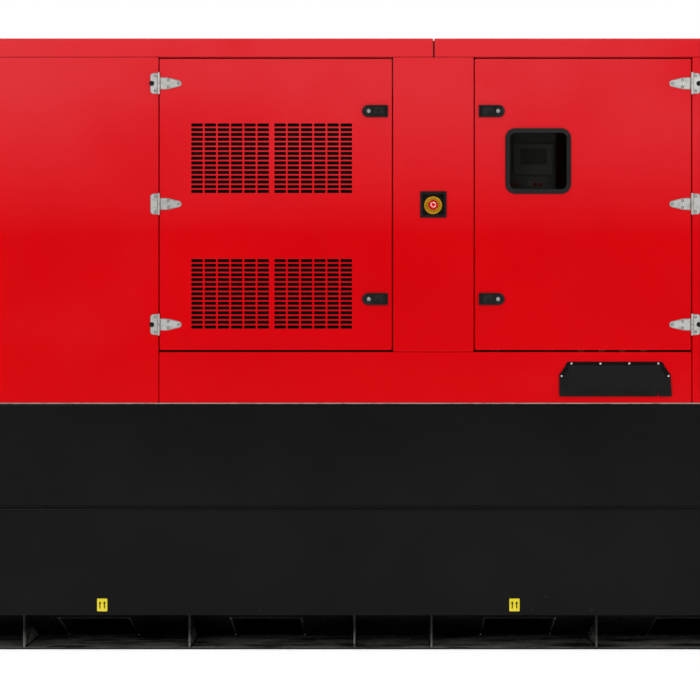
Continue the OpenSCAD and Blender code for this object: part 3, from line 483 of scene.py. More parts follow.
def moulded_black():
    f = Finish("moulded black plastic", (0.0045, 0.0045, 0.0048), 0.45)
    f.set(Specular_IOR_Level=0.18)
    f.gloss(f.noise(40.0, 4.0), 0.38, 0.55)
    f.bump(f.noise(1100.0, 3.0), 0.00008, 0.6)
    return f.material


def black_rubber():
    """Ozone-dulled black rubber with a fine grain and pale scuffs."""
    f = Finish("black rubber", (0.0055, 0.0053, 0.0052), 0.55)
    f.set(Specular_IOR_Level=0.14)
    f.layer(f.noise(25.0, 8.0, (1, 1, 1), 0.7), (0.016, 0.0155, 0.015), 0.58, 0.90)
    f.gloss(f.noise(18.0, 5.0), 0.50, 0.75)
    f.bump(f.noise(500.0, 4.0), 0.00015, 0.6)
    return f.material


def glazing_rubber():
    """Moulded glazing rubber with a soft sheen along its beads."""
    f = Finish("glazing rubber", (0.0060, 0.0062, 0.0062), 0.34)
    f.set(Specular_IOR_Level=0.26)
    f.layer(f.noise(30.0, 6.0), (0.010, 0.010, 0.0097), 0.58, 0.90)
    f.gloss(f.noise(16.0, 4.0), 0.28, 0.44)
    f.bump(f.noise(700.0, 3.0), 0.00006, 0.5)
    return f.material


def pale_gasket():
    f = Finish("pale foam gasket", (0.36, 0.33, 0.30), 0.8)
    f.tint(f.noise(35.0, 6.0, (1, 1, 3)), (0.16, 0.13, 0.12), 0.45, 0.75)
    f.bump(f.noise(260.0, 4.0), 0.0006, 0.7)
    return f.material


def sound_foam():
    """Open cell sound foam with a dark facing."""
    f = Finish("dark sound foam", (0.0055, 0.0055, 0.0060), 0.95)
    f.set(Specular_IOR_Level=0.1)
    f.layer(f.noise(30.0, 6.0), (0.011, 0.0108, 0.011), 0.50, 0.80)
    f.bump(f.noise(160.0, 6.0, (1, 1, 1), 0.75), 0.0022, 0.9)
    return f.material


def tinted_pane():
    """Dark tinted acrylic pane with light wipe marks."""
    f = Finish("dark tinted pane", (0.27, 0.265, 0.25), 0.03)
    f.set(Transmission_Weight=1.0, IOR=1.12, Specular_IOR_Level=0.3)
    f.gloss(f.noise(14.0, 5.0, (1, 1, 3)), 0.01, 0.05, 0.40, 0.80)
    return f.material


def marker_yellow():
    f = Finish("yellow marker plate", (0.84, 0.70, 0.012), 0.35)
    f.layer(f.noise(70.0, 6.0), (0.55, 0.42, 0.02), 0.60, 0.90)
    f.gloss(f.noise(50.0, 3.0), 0.28, 0.50)
    f.bump(f.noise(400.0, 2.0), 0.00005, 0.4)
    return f.material


def legend_yellow():
    f = Finish("yellow legend disc", (1.0, 0.50, 0.012), 0.40)
    f.set(Specular_IOR_Level=0.1)
    f.layer(f.noise(90.0, 5.0), (0.90, 0.38, 0.012), 0.55, 0.85)
    f.bump(f.noise(900.0, 2.0), 0.00004, 0.4)
    return f.material


def stop_red():
    f = Finish("red stop moulding", (0.72, 0.006, 0.008), 0.30)
    f.set(Coat_Weight=0.10, Coat_Roughness=0.12, Specular_IOR_Level=0.15)
    f.tint(f.noise(120.0, 4.0), (0.60, 0.006, 0.008), 0.45, 0.75)
    f.bump(f.noise(1300.0, 2.0), 0.00004, 0.5)
    return f.material


def white_print():
    f = Finish("white print", (0.92, 0.90, 0.88), 0.45)
    f.layer(f.noise(300.0, 4.0), (0.76, 0.72, 0.68), 0.55, 0.85)
    return f.material


def cabinet_grey():
    """Textured grey powder coat of the control cabinet."""
    f = Finish("textured grey powder coat", (0.27, 0.29, 0.30), 0.5)
    f.tint(f.noise(5.0, 4.0), (0.23, 0.25, 0.26), 0.40, 0.70)
    f.bump(f.noise(900.0, 3.0), 0.00025, 0.8)
    return f.material


def engine_enamel():
    """Dark green grey engine enamel over cast iron, with oily patches."""
    f = Finish("engine enamel on casting", (0.035, 0.062, 0.055), 0.42)
    f.layer(f.noise(6.0, 7.0, (1, 1, 1), 0.65), (0.012, 0.014, 0.013), 0.55, 0.85)
    f.gloss(f.noise(9.0, 5.0), 0.28, 0.62)
    f.bump(f.noise(260.0, 5.0), 0.0007, 0.8)
    f.edges((0.09, 0.10, 0.09), 0.003, 0.12, 0.5)
    return f.material


def hot_steel():
    """Exhaust steel with heat tints and light rust."""
    f = Finish("heat stained exhaust steel", (0.22, 0.20, 0.18), 0.5, 0.85)
    f.tint(f.noise(5.0, 6.0), (0.20, 0.12, 0.07), 0.42, 0.72)
    f.gloss(f.noise(20.0, 5.0), 0.38, 0.70)
    f.bump(f.noise(180.0, 5.0), 0.0004, 0.7)
    return f.material


def radiator_black():
    f = Finish("radiator black", (0.016, 0.016, 0.017), 0.55)
    f.layer(f.noise(12.0, 6.0), (0.045, 0.042, 0.038), 0.55, 0.85)
    f.bump(f.noise(240.0, 3.0), 0.0002, 0.6)
    return f.material


def board_brown():
    """Laminated insulating board with its fibre lines."""
    f = Finish("laminated insulating board", (0.16, 0.058, 0.030), 0.5)
    f.tint(f.noise(40.0, 6.0, (1, 1, 9)), (0.10, 0.034, 0.018), 0.40, 0.72)
    f.bump(f.noise(300.0, 3.0, (1, 1, 8)), 0.00012, 0.6)
    return f.material


def copper():
    f = Finish("copper", (0.60, 0.24, 0.11), 0.3, 1.0)
    f.tint(f.noise(40.0, 5.0), (0.34, 0.13, 0.07), 0.45, 0.75)
    f.gloss(f.noise(200.0, 3.0), 0.22, 0.48)
    return f.material


def braided_hose():
    """Cloth-braided hose cover."""
    f = Finish("braided black hose", (0.022, 0.022, 0.024), 0.7)
    f.layer(f.noise(420.0, 2.0, (1, 1, 1)), (0.06, 0.06, 0.062), 0.50, 0.70)
    f.bump(f.noise(700.0, 2.0), 0.0004, 0.7)
    return f.material


def dark_screen():
    f = Finish("dark display", (0.115, 0.128, 0.112), 0.12)
    f.set(Coat_Weight=0.3, Coat_Roughness=0.05)
    f.gloss(f.noise(60.0, 3.0), 0.10, 0.22)
    return f.material


RED_PAINT = canopy_paint()
BLACK_PAINT = base_paint()
THICK_PAINT = thick_paint()
POCKET_PAINT = pocket_paint()
STAINLESS = polished_steel()
ZINC = zinc_steel()
BRIGHT = machined_steel()
SATIN_BLACK = satin_black()
PLASTIC = moulded_black()
RUBBER = black_rubber()
GLAZING = glazing_rubber()
GASKET = pale_gasket()
FOAM = sound_foam()
PANE = tinted_pane()
MARKER = marker_yellow()
LEGEND = legend_yellow()
STOP_RED = stop_red()
WHITE = white_print()
GREY = cabinet_grey()
ENAMEL = engine_enamel()
EXHAUST = hot_steel()
RADIATOR = radiator_black()
BOARD = board_brown()
COPPER = copper()
HOSE = braided_hose()
SCREEN = dark_screen()


# -------------------------------- repeats by geometry nodes


def tree_with(name, *inputs):
    """A new node tree and the outputs of its entry: a geometry, then the named inputs."""
    tree = bpy.data.node_groups.new(name, "GeometryNodeTree")
    for label, kind in (("Geometry", "Geometry"),) + inputs:
        tree.interface.new_socket(label, in_out="INPUT", socket_type="NodeSocket" + kind)
    tree.interface.new_socket("Geometry", in_out="OUTPUT", socket_type="NodeSocketGeometry")
    return tree, tree.nodes.new("NodeGroupInput").outputs


def copies_on(tree, points, item, **turned):
    """The geometry of an item's copies on points."""
    sockets = {"Points": points, "Instance": item, **turned}
    return wired(tree, "GeometryNodeInstanceOnPoints", sockets).outputs[0]


def end_tree(tree, source, given, merge=False):
    """Realize, merge where asked, set the material and leave the tree."""
    last = wired(tree, "GeometryNodeRealizeInstances", {0: source}).outputs[0]
    if merge:
        last = wired(tree, "GeometryNodeMergeByDistance", {"Geometry": last, "Distance": 1e-5}).outputs[0]
    paint = wired(tree, "GeometryNodeSetMaterial", {"Geometry": last, "Material": given["Material"]})
    wired(tree, "NodeGroupOutput", {0: paint.outputs[0]})
    return tree


def grid_tree():
    """Copies of an item on a grid of columns along X and rows along Z."""
    tree, given = tree_with("grid of items", ("Item", "Object"), ("Columns", "Int"), ("Rows", "Int"),
                            ("Pitch X", "Float"), ("Pitch Z", "Float"), ("Material", "Material"))
    item = wired(tree, "GeometryNodeObjectInfo", {"Object": given["Item"]})
    step_x = wired(tree, "ShaderNodeCombineXYZ", {"X": given["Pitch X"]})
    step_z = wired(tree, "ShaderNodeCombineXYZ", {"Z": given["Pitch Z"]})
    row = wired(tree, "GeometryNodeMeshLine", {"Count": given["Columns"], "Offset": step_x.outputs[0]})
    column = wired(tree, "GeometryNodeMeshLine", {"Count": given["Rows"], "Offset": step_z.outputs[0]})
    one_row = copies_on(tree, row.outputs[0], item.outputs["Geometry"])
    return end_tree(tree, copies_on(tree, column.outputs[0], one_row), given, merge=True)


def points_tree():
    """A copy of an item on every vertex of the object's own mesh."""
    tree, given = tree_with("items on points", ("Item", "Object"), ("Material", "Material"))
    item = wired(tree, "GeometryNodeObjectInfo", {"Object": given["Item"]})
    return end_tree(tree, copies_on(tree, given["Geometry"], item.outputs["Geometry"]), given)


def ring_tree():
    """Copies of an item turned about the X axis, evenly round a full circle."""
    tree, given = tree_with("items in a ring", ("Item", "Object"), ("Count", "Int"), ("Material", "Material"))
    item = wired(tree, "GeometryNodeObjectInfo", {"Object": given["Item"]})
    line = wired(tree, "GeometryNodeMeshLine", {"Count": given["Count"], "Offset": (0, 0, 0)})
    index = wired(tree, "GeometryNodeInputIndex", {})
    share = wired(tree, "ShaderNodeMath", {0: index.outputs[0], 1: given["Count"]}, "DIVIDE")
    angle = wired(tree, "ShaderNodeMath", {0: share.outputs[0], 1: 2 * math.pi}, "MULTIPLY")
    turn = wired(tree, "ShaderNodeCombineXYZ", {"X": angle.outputs[0]})
    copies = copies_on(tree, line.outputs[0], item.outputs["Geometry"], Rotation=turn.outputs[0])
    return end_tree(tree, copies, given)


GRID = grid_tree()
ON_POINTS = points_tree()
RING = ring_tree()


def run_tree(name, tree, values, points=(), at=(0, 0, 0)):
    """Runs a tree on a new object and returns its result as a plain mesh, moved to its place."""
    mesh = bpy.data.meshes.new(name)
    mesh.from_pydata([tuple(p) for p in points], [], [])
    carrier = bpy.data.objects.new(name + " carrier", mesh)
    bpy.context.scene.collection.objects.link(carrier)
    mod = carrier.modifiers.new("repeat", "NODES")
    mod.node_group = tree
    sockets = {s.name: s.identifier for s in tree.interface.items_tree if s.in_out == "INPUT"}
    for label, value in values.items():
        mod[sockets[label]] = value
    item = values["Item"]
    piece = plain_copy(carrier, name)
    bpy.data.objects.remove(item)
    piece.data.transform(shift(*at))
    if not piece.data.materials:
        piece.data.materials.append(values["Material"])
    return piece


def grid_of(name, item, material, columns, rows, pitch_x, pitch_z, at=(0, 0, 0)):
    return run_tree(name, GRID, {"Item": item, "Columns": columns, "Rows": rows, "Pitch X": pitch_x,
                                 "Pitch Z": pitch_z, "Material": material}, at=at)


def on_points(name, item, material, points):
    return run_tree(name, ON_POINTS, {"Item": item, "Material": material}, points)


def ring_of(name, item, material, count, at):
    return run_tree(name, RING, {"Item": item, "Count": count, "Material": material}, at=at)


# -------------------------------- camera, lights and floor

FLOOR_RADIUS = 60.0
FLOOR_GAP = 0.0005
SKY = ((0.46, 0.12), (0.50, 0.09), (0.56, 0.12), (0.66, 0.30), (0.95, 0.50))


def stage_floor():
    """A wide pale disc that the set stands on."""
    bm = bmesh.new()
    add_prism(bm, circle_pts(FLOOR_RADIUS, 64), TURN_OUT, FLOOR_GAP, 0.01)
    floor = Finish("pale floor", (0.90, 0.90, 0.90), 0.8)
    floor.set(Specular_IOR_Level=0.1, Emission_Color=(1.0, 1.0, 1.0, 1.0), Emission_Strength=0.53)
    floor.tint(floor.noise(0.7, 3.0), (0.89, 0.89, 0.893), 0.4, 0.6)
    obj = make_mesh("floor", bm, floor.material)
    top = max(v.co.z for v in obj.data.vertices)
    obj.data.transform(shift(0, 0, -FLOOR_GAP - top))


def studio_world():
    """White to the camera; softer and darker near the horizon for what the gloss paint mirrors."""
    world = bpy.data.worlds.new("studio")
    bpy.context.scene.world = world
    world.use_nodes = True
    tree = world.node_tree
    tree.nodes.clear()
    coords = wired(tree, "ShaderNodeTexCoord", {})
    split = wired(tree, "ShaderNodeSeparateXYZ", {0: coords.outputs["Generated"]})
    height = wired(tree, "ShaderNodeMath", {0: split.outputs["Z"], 1: 0.5, 2: 0.5}, "MULTIPLY_ADD")
    sky = wired(tree, "ShaderNodeValToRGB", {0: height.outputs[0]})
    band = sky.color_ramp
    for position, grey in SKY:
        element = band.elements.new(position)
        element.color = (grey, grey, grey * 1.01, 1.0)
    band.elements.remove(band.elements[0])
    band.elements.remove(band.elements[-1])
    mirrored = wired(tree, "ShaderNodeBackground", {"Color": sky.outputs[0]})
    seen = wired(tree, "ShaderNodeBackground", {"Color": (1.0, 1.0, 1.0, 1.0)})
    path = wired(tree, "ShaderNodeLightPath", {})
    sides = {0: path.outputs["Is Camera Ray"], 1: mirrored.outputs[0], 2: seen.outputs[0]}
    mix = wired(tree, "ShaderNodeMixShader", sides)
    wired(tree, "ShaderNodeOutputWorld", {"Surface": mix.outputs[0]})


def soft_light(name, at, aim, size, power):
    light = bpy.data.lights.new(name, "AREA")
    light.shape = "RECTANGLE"
    light.size, light.size_y = size
    light.energy = power
    obj = bpy.data.objects.new(name, light)
    bpy.context.scene.collection.objects.link(obj)
    obj.location = at
    obj.rotation_mode = "QUATERNION"
    obj.rotation_quaternion = (Vector(aim) - Vector(at)).to_track_quat("-Z", "Y")


LENS = 77.0
CAMERA_SHIFT = -0.0535
CAMERA_AT = (-0.022, FRONT_Y - 6.0, 1.2)
LIGHTS = (
    ("overhead", (0, -1.5, 7.5), (0, 0, 0.5), (9.0, 5.0), 161),
    ("front left", (-5.0, -8.0, 5.5), (0, 0, 1.2), (4.5, 4.0), 174),
    ("front right", (5.5, -8.0, 5.0), (0.5, 0, 1.2), (4.5, 4.0), 157),
    ("rear", (2.0, 8.0, 6.0), (0, 0, 1.2), (7.0, 4.0), 191),
)


def studio():
    """Camera in front, four soft lights, the white surroundings and the floor."""
    scene = bpy.context.scene
    scene.view_settings.view_transform = "Standard"
    camera = bpy.data.cameras.new("camera")
    camera.lens = LENS
    camera.shift_x = CAMERA_SHIFT
    obj = bpy.data.objects.new("camera", camera)
    scene.collection.objects.link(obj)
    obj.location = CAMERA_AT
    obj.rotation_euler = (math.radians(90), 0, 0)
    scene.camera = obj
    studio_world()
    for light in LIGHTS:
        soft_light(*light)
    stage_floor()


# -------------------------------- the nodes that keep their own mesh

CAD_FINISH = {
    BLACK_PAINT: ("base_ends", "engine_bearers", "fuel_tank"),
    PLASTIC: ("fuel_cap", "breaker_handle", "battery"),
    RUBBER: ("engine_mounts", "joint_strips"),
    GASKET: ("canopy_gasket",),
    ENAMEL: ("engine_block", "cylinder_head", "generator_stator"),
    BRIGHT: ("crank_train",),
    ZINC: ("rain_cap",),
    EXHAUST: ("exhaust_system",),
    GREY: ("control_cabinet",),
    BOARD: ("output_board",),
}


def finish_cad_nodes():
    for material, names in CAD_FINISH.items():
        for name in names:
            slots = NODES[name].data.materials
            if len(slots) == 0:
                slots.append(material)
            for i in range(len(slots)):
                slots[i] = material


# -------------------------------- folded sheet metal

ON_FRONT = shift(0, FRONT_Y, 0)
ON_REAR = MIRROR_Y @ shift(0, -REAR_Y, 0)
RETURN_LIP = 14 * MM
SILL_EASE = 1.6 * MM
REVEAL = 4 * MM


def tray_box(node):
    lo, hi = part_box(node)
    return (lo.x, hi.x, lo.z, hi.z)


def loop_of(bm, outline, y, place):
    return [bm.verts.new(place @ Vector((x, y, z))) for x, z in outline]


def join_loops(bm, a, b):
    n = len(a)
    for i in range(n):
        bm.faces.new((a[i], a[(i + 1) % n], b[(i + 1) % n], b[i]))


def join_run(bm, loops, caps=False):
    """Joins loops one after another; caps close the last one and the first."""
    for a, b in zip(loops, loops[1:]):
        join_loops(bm, a, b)
    if caps:
        bm.faces.new(loops[-1])
        bm.faces.new(loops[0][::-1])


def fill_between(bm, loops):
    """Flat face inside the first loop, with the other loops as holes."""
    edges = []
    for loop in loops:
        n = len(loop)
        for i in range(n):
            pair = (loop[i], loop[(i + 1) % n])
            edges.append(bm.edges.get(pair) or bm.edges.new(pair))
    bmesh.ops.triangle_fill(bm, use_beauty=True, use_dissolve=False, edges=edges)


def folded_tray(bm, box, depth, place, holes=(), lip=RETURN_LIP):
    """Skin with holes, edges bent back on a radius and folded in again behind."""
    x0, x1, z0, z1 = box
    inner = BEND - SHEET
    turns = [math.radians(a) for a in (0, 22.5, 45, 67.5, 90)]
    path = [(BEND - BEND * math.sin(a), BEND - BEND * math.cos(a)) for a in turns]
    path += [(BEND - BEND * math.cos(a), depth - BEND + BEND * math.sin(a)) for a in turns]
    path += [(lip, depth), (lip, depth - SHEET)]
    path += [(BEND - inner * math.cos(a), depth - BEND + inner * math.sin(a)) for a in reversed(turns)]
    path += [(BEND - inner * math.sin(a), BEND - inner * math.cos(a)) for a in reversed(turns)]
    middle_x = (x0 + x1) / 2
    middle_z = (z0 + z1) / 2
    rings = []
    for inset, y in path:
        corner = max(BEND + 1 * MM - inset, 0.4 * MM)
        outline = rounded_rect(x1 - x0 - 2 * inset, z1 - z0 - 2 * inset, corner, 3)
        rings.append(loop_of(bm, [(middle_x + x, middle_z + z) for x, z in outline], y, place))
    join_run(bm, rings)
    front = [loop_of(bm, hole, 0, place) for hole in holes]
    back = [loop_of(bm, hole, SHEET, place) for hole in holes]
    for a, b in zip(front, back):
        join_loops(bm, a, b)
    fill_between(bm, [rings[0]] + front)
    fill_between(bm, [rings[-1]] + back)


def even_normals(obj):
    """Lets the large flat faces set the shading at the start of each bend."""
    mod = obj.modifiers.new("even normals", "WEIGHTED_NORMAL")
    mod.keep_sharp = True
    mod.weight = 80
    return apply_modifiers(obj)


def sheet_piece(name, bm, body, node):
    """A red sheet metal piece that stands for a node."""
    return place_piece(even_normals(make_mesh(name, bm, RED_PAINT)), body, "canopy_red", node)


def moved(outline, x, z):
    return [(x + a, z + b) for a, b in outline]


def rect_outline(x0, x1, z0, z1):
    return [(x1, z1), (x0, z1), (x0, z0), (x1, z0)]


def fixed_panels():
    """Front panels, post and sill, each a folded tray, and the rear wall."""
    depth = high("front_left_panel").y - FRONT_Y
    stop = middle("stop_bezel")
    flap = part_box("cable_flap")
    top = high("flap_strip").z
    outlet = rect_outline(flap[0].x + 22 * MM, flap[1].x - 22 * MM, flap[0].z + 14 * MM, top - 24 * MM)
    hole_side = high("stop_bezel").x - low("stop_bezel").x - 16 * MM
    openings = {
        "front_left_panel": (),
        "front_right_panel": (),
        "front_post": (moved(rounded_rect(hole_side, hole_side, 2 * MM, 3), stop.x, stop.z),),
        "front_sill": (outlet,),
    }
    for node, holes in openings.items():
        bm = bmesh.new()
        x0, x1, z0, z1 = tray_box(node)
        ease = SILL_EASE if node == "front_sill" else 0.0
        folded_tray(bm, (x0 + ease, x1 - ease, z0, z1), depth, ON_FRONT, holes)
        sheet_piece(words(node) + " skin", bm, "root", node)

    bm = bmesh.new()
    lo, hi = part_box("rear_panels")
    door_lo, door_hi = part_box("service_door")
    left, right = door_lo.x - REVEAL, door_hi.x + REVEAL
    folded_tray(bm, (lo.x, left, lo.z, hi.z), depth, ON_REAR)
    folded_tray(bm, (right, hi.x, lo.z, hi.z), depth, ON_REAR)
    folded_tray(bm, (left + MM, right - MM, lo.z, high("front_sill").z), depth, ON_REAR)
    sheet_piece("rear wall skins", bm, "root", "rear_panels")


SLOT = (46.6 * MM, 13.4 * MM)
SLOT_PITCH = (53 * MM, 19 * MM)
SLOT_GRID = (6, 15)


def slot_cell():
    """One punched slot in its own patch of skin, with the edge drawn in by the punch."""
    bm = bmesh.new()
    here = IN_PLACE
    draw = 0.6 * MM
    patch = rect_outline(-SLOT_PITCH[0] / 2, SLOT_PITCH[0] / 2, -SLOT_PITCH[1] / 2, SLOT_PITCH[1] / 2)
    wide = rounded_rect(SLOT[0] + 2 * draw, SLOT[1] + 2 * draw, 3.8 * MM, 4)
    mid = rounded_rect(SLOT[0] + 0.6 * draw, SLOT[1] + 0.6 * draw, 3.3 * MM, 4)
    tight = rounded_rect(*SLOT, 3.0 * MM, 4)
    front = loop_of(bm, patch, 0, here)
    loops = [loop_of(bm, wide, 0, here), loop_of(bm, mid, 0.3 * draw, here), loop_of(bm, tight, draw, here),
             loop_of(bm, tight, 1.8 * MM, here)]
    join_run(bm, loops)
    fill_between(bm, [front, loops[0]])
    return make_mesh("slot cell", bm, RED_PAINT)


def grille_rects(node):
    """The four grilles of a louvred door as (x0, x1, z0, z1)."""
    lo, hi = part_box(node)
    width = SLOT_GRID[0] * SLOT_PITCH[0]
    height = SLOT_GRID[1] * SLOT_PITCH[1]
    spare_x = 3.5 * MM
    spare_z = 3.25 * MM
    step = width - SLOT_PITCH[0] + 68 * MM
    rects = []
    for x in (lo.x + 128 * MM - spare_x, lo.x + 128 * MM + step - spare_x):
        for z in (hi.z - 260 * MM + spare_z - height, lo.z + 86 * MM - spare_z):
            rects.append((x, x + width, z, z + height))
    return rects


def mirror_mesh(obj, name):
    """A copy of a piece on the other side of the set."""
    mesh = obj.data.copy()
    flip_over(mesh)
    copy = bpy.data.objects.new(name, mesh)
    bpy.context.scene.collection.objects.link(copy)
    return copy


def louvred_doors():
    """Leaf and punched grilles of the front louvred door, and the same for the service door."""
    depth = high("louvre_door").y - FRONT_Y
    rects = grille_rects("louvre_door")
    bm = bmesh.new()
    folded_tray(bm, tray_box("louvre_door"), depth, ON_FRONT, [rect_outline(*rect) for rect in rects])
    skin = even_normals(make_mesh("louvred door leaf", bm, RED_PAINT))
    one = grid_of("one grille", slot_cell(), RED_PAINT, SLOT_GRID[0], SLOT_GRID[1], *SLOT_PITCH)
    corners = [(x0 + SLOT_PITCH[0] / 2, FRONT_Y, z0 + SLOT_PITCH[1] / 2) for x0, _, z0, _ in rects]
    grilles = on_points("louvred door grilles", one, RED_PAINT, corners)
    rear_skin = mirror_mesh(skin, "service door leaf")
    rear_grilles = mirror_mesh(grilles, "service door grilles")
    place_piece(skin, "louvre_door", "canopy_red", "louvre_door")
    place_piece(grilles, "louvre_door", "canopy_red")
    place_piece(rear_skin, "service_door", "canopy_red", "service_door")
    place_piece(rear_grilles, "service_door", "canopy_red")


def window_door_leaf():
    lo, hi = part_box("window_seal")
    centre = (lo + hi) / 2
    hole = moved(rounded_rect(hi.x - lo.x - 28 * MM, hi.z - lo.z - 28 * MM, 26 * MM), centre.x, centre.z)
    bm = bmesh.new()
    folded_tray(bm, tray_box("window_door"), high("window_door").y - FRONT_Y, ON_FRONT, (hole,))
    sheet_piece("window door leaf", bm, "window_door", "window_door")


def end_walls():
    """End walls with three columns of pressed air louvres."""
    for node, way, rows, first in (("left_end_panel", -1, 20, 240), ("right_end_panel", 1, 14, 560)):
        lo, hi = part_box(node)
        outer = hi.x if way > 0 else lo.x
        # x runs along the wall and y inwards before the matrix turns them
        place = shift(outer, 0, 0) @ Matrix.Rotation(math.radians(90 * way), 4, "Z")
        rows_z = [lo.z + (first + 46 * i) * MM for i in range(rows)]
        slots = [moved(rounded_rect(340 * MM, 22 * MM, 3 * MM, 2), j * 380 * MM, z + 11 * MM)
                 for z in rows_z for j in (-1, 0, 1)]
        bm = bmesh.new()
        folded_tray(bm, (lo.y, hi.y, lo.z, hi.z), hi.x - lo.x, place, slots)
        name = words(node)
        sheet_piece(name + " skin", bm, "root", node)
        blade = bmesh.new()
        vane = in_mm((0, 1), (14, -16), (15.5, -15.5), (2, 2))
        front = [blade.verts.new(place @ Vector((-168 * MM, SHEET + y, z))) for y, z in vane]
        back = [blade.verts.new(place @ Vector((168 * MM, SHEET + y, z))) for y, z in vane]
        blade.faces.new(front)
        blade.faces.new(back[::-1])
        for i in range(4):
            blade.faces.new((front[i], back[i], back[(i + 1) % 4], front[(i + 1) % 4]))
        blade.transform(shift(-outer, 0, 0))
        item = make_mesh("vane", blade, RED_PAINT)
        spots = [(outer, j * 380 * MM, z + 21 * MM) for z in rows_z for j in (-1, 0, 1)]
        place_piece(on_points(name + " vanes", item, RED_PAINT, spots), "root", "canopy_red")


# -------------------------------- roof and base


def cut_with(obj, cutter):
    """Cuts one object out of another; both are used up."""
    mod = obj.modifiers.new("cut", "BOOLEAN")
    mod.operation = "DIFFERENCE"
    mod.solver = "EXACT"
    mod.object = cutter
    result = apply_modifiers(obj)
    bpy.data.objects.remove(cutter)
    return result


STACK_INSET = 51 * MM


def roof_outline(inset, z0, top):
    """Half-open outline across the roof in YZ, from the rear edge over the crown to the front."""
    half = REAR_Y
    crown = 5 * MM
    corner = 13 * MM
    pts = [(half - inset, z0)]
    for i in range(9):
        a = math.radians(90 * i / 8)
        pts.append((half - corner + (corner - inset) * math.cos(a),
                    top - crown - corner + (corner - inset) * math.sin(a)))
    for i in range(1, 12):
        y = (half - corner) * (1 - i / 12)
        pts.append((y, top - crown * (y / half) ** 2 - inset))
    return pts + [(0, top - inset)] + [(-y, z) for y, z in reversed(pts)]


def roof_caps():
    """Crowned roof halves with a wide bend outside and a tight one at the joint; lips below."""
    wall_top = high("front_post").z
    for node, ends in (("roof_left", (14, 4)), ("roof_right", (4, 14))):
        lo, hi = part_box(node)
        z0 = wall_top + 2 * MM
        bm = bmesh.new()
        rings = []
        for end, sign, radius in ((lo.x, 1, ends[0]), (hi.x, -1, ends[1])):
            turns = [math.radians(15 * i) for i in range(7)]
            r = radius * MM
            part = []
            for a in turns:
                x = end + sign * r * (1 - math.cos(a))
                outline = roof_outline(r * (1 - math.sin(a)), z0, hi.z)
                part.append([bm.verts.new((x, y, z)) for y, z in outline])
            rings += part if sign > 0 else part[::-1]
        for a, b in zip(rings, rings[1:]):
            for i in range(len(a) - 1):
                bm.faces.new((a[i], a[i + 1], b[i + 1], b[i]))
        bm.faces.new(rings[0])
        bm.faces.new(rings[-1][::-1])
        cap = make_mesh(words(node) + " cap", bm, RED_PAINT)
        shell = cap.modifiers.new("sheet", "SOLIDIFY")
        shell.thickness = SHEET
        shell.offset = -1
        cap = apply_modifiers(cap)
        if node == "roof_left":
            bm = bmesh.new()
            stack = middle("rain_cap")
            tail_x = low("rain_cap").x + STACK_INSET
            add_lathe(bm, [(0, 2.3), (65 * MM, 2.3), (65 * MM, 2.6), (0, 2.6)],
                      shift(tail_x, stack.y, 0), 64)
            cap = cut_with(cap, make_mesh("stack hole", bm, RED_PAINT))
        bm = bmesh.new()
        half = REAR_Y - SHEET
        for y0, y1 in ((-half, -half + 15 * MM), (half - 15 * MM, half)):
            add_box(bm, (lo.x + 4 * MM, y0, wall_top), (hi.x - 4 * MM, y1, z0 + 8 * MM))
        for x in (lo.x + 3 * MM, hi.x - 18 * MM):
            add_box(bm, (x, -half + 15 * MM, wall_top), (x + 15 * MM, half - 15 * MM, z0 + 8 * MM))
        lip = make_mesh(words(node) + " lip", bm, RED_PAINT)
        place_piece(even_normals(cap), "root", "canopy_red", node)
        place_piece(lip, "root", "canopy_red")


def filleted(points, radius, steps=5):
    """A path in YZ with its inner corners rounded."""
    pts = [Vector(p) for p in points]
    out = [pts[0]]
    for before, at, after in zip(pts, pts[1:], pts[2:]):
        a = (before - at).normalized()
        b = (after - at).normalized()
        half = math.acos(max(-1, min(1, a.dot(b)))) / 2
        reach = min(radius / math.tan(half), (before - at).length * 0.45, (after - at).length * 0.45)
        start, end = at + a * reach, at + b * reach
        for i in range(steps + 1):
            t = i / steps
            out.append(start * (1 - t) ** 2 + at * (2 * t * (1 - t)) + end * t ** 2)
    out.append(pts[-1])
    return out


def bent_plate(name, points, radius, thickness, x0, x1, material):
    """A plate bent along X; the points run along its outer face."""
    bm = bmesh.new()
    path = filleted(points, radius)
    a = [bm.verts.new((x0, y, z)) for y, z in path]
    b = [bm.verts.new((x1, y, z)) for y, z in path]
    for i in range(len(path) - 1):
        bm.faces.new((a[i], a[i + 1], b[i + 1], b[i]))
    obj = make_mesh(name, bm, material)
    shell = obj.modifiers.new("plate", "SOLIDIFY")
    shell.thickness = thickness
    shell.offset = 0
    return even_normals(apply_modifiers(obj))


def box_object(name, boxes, material):
    bm = bmesh.new()
    for lo, hi in boxes:
        add_box(bm, lo, hi)
    return make_mesh(name, bm, material)


FOLD_Z = 0.140
FOOT_DEPTH = 0.278
BASE_SHEET = 6 * MM


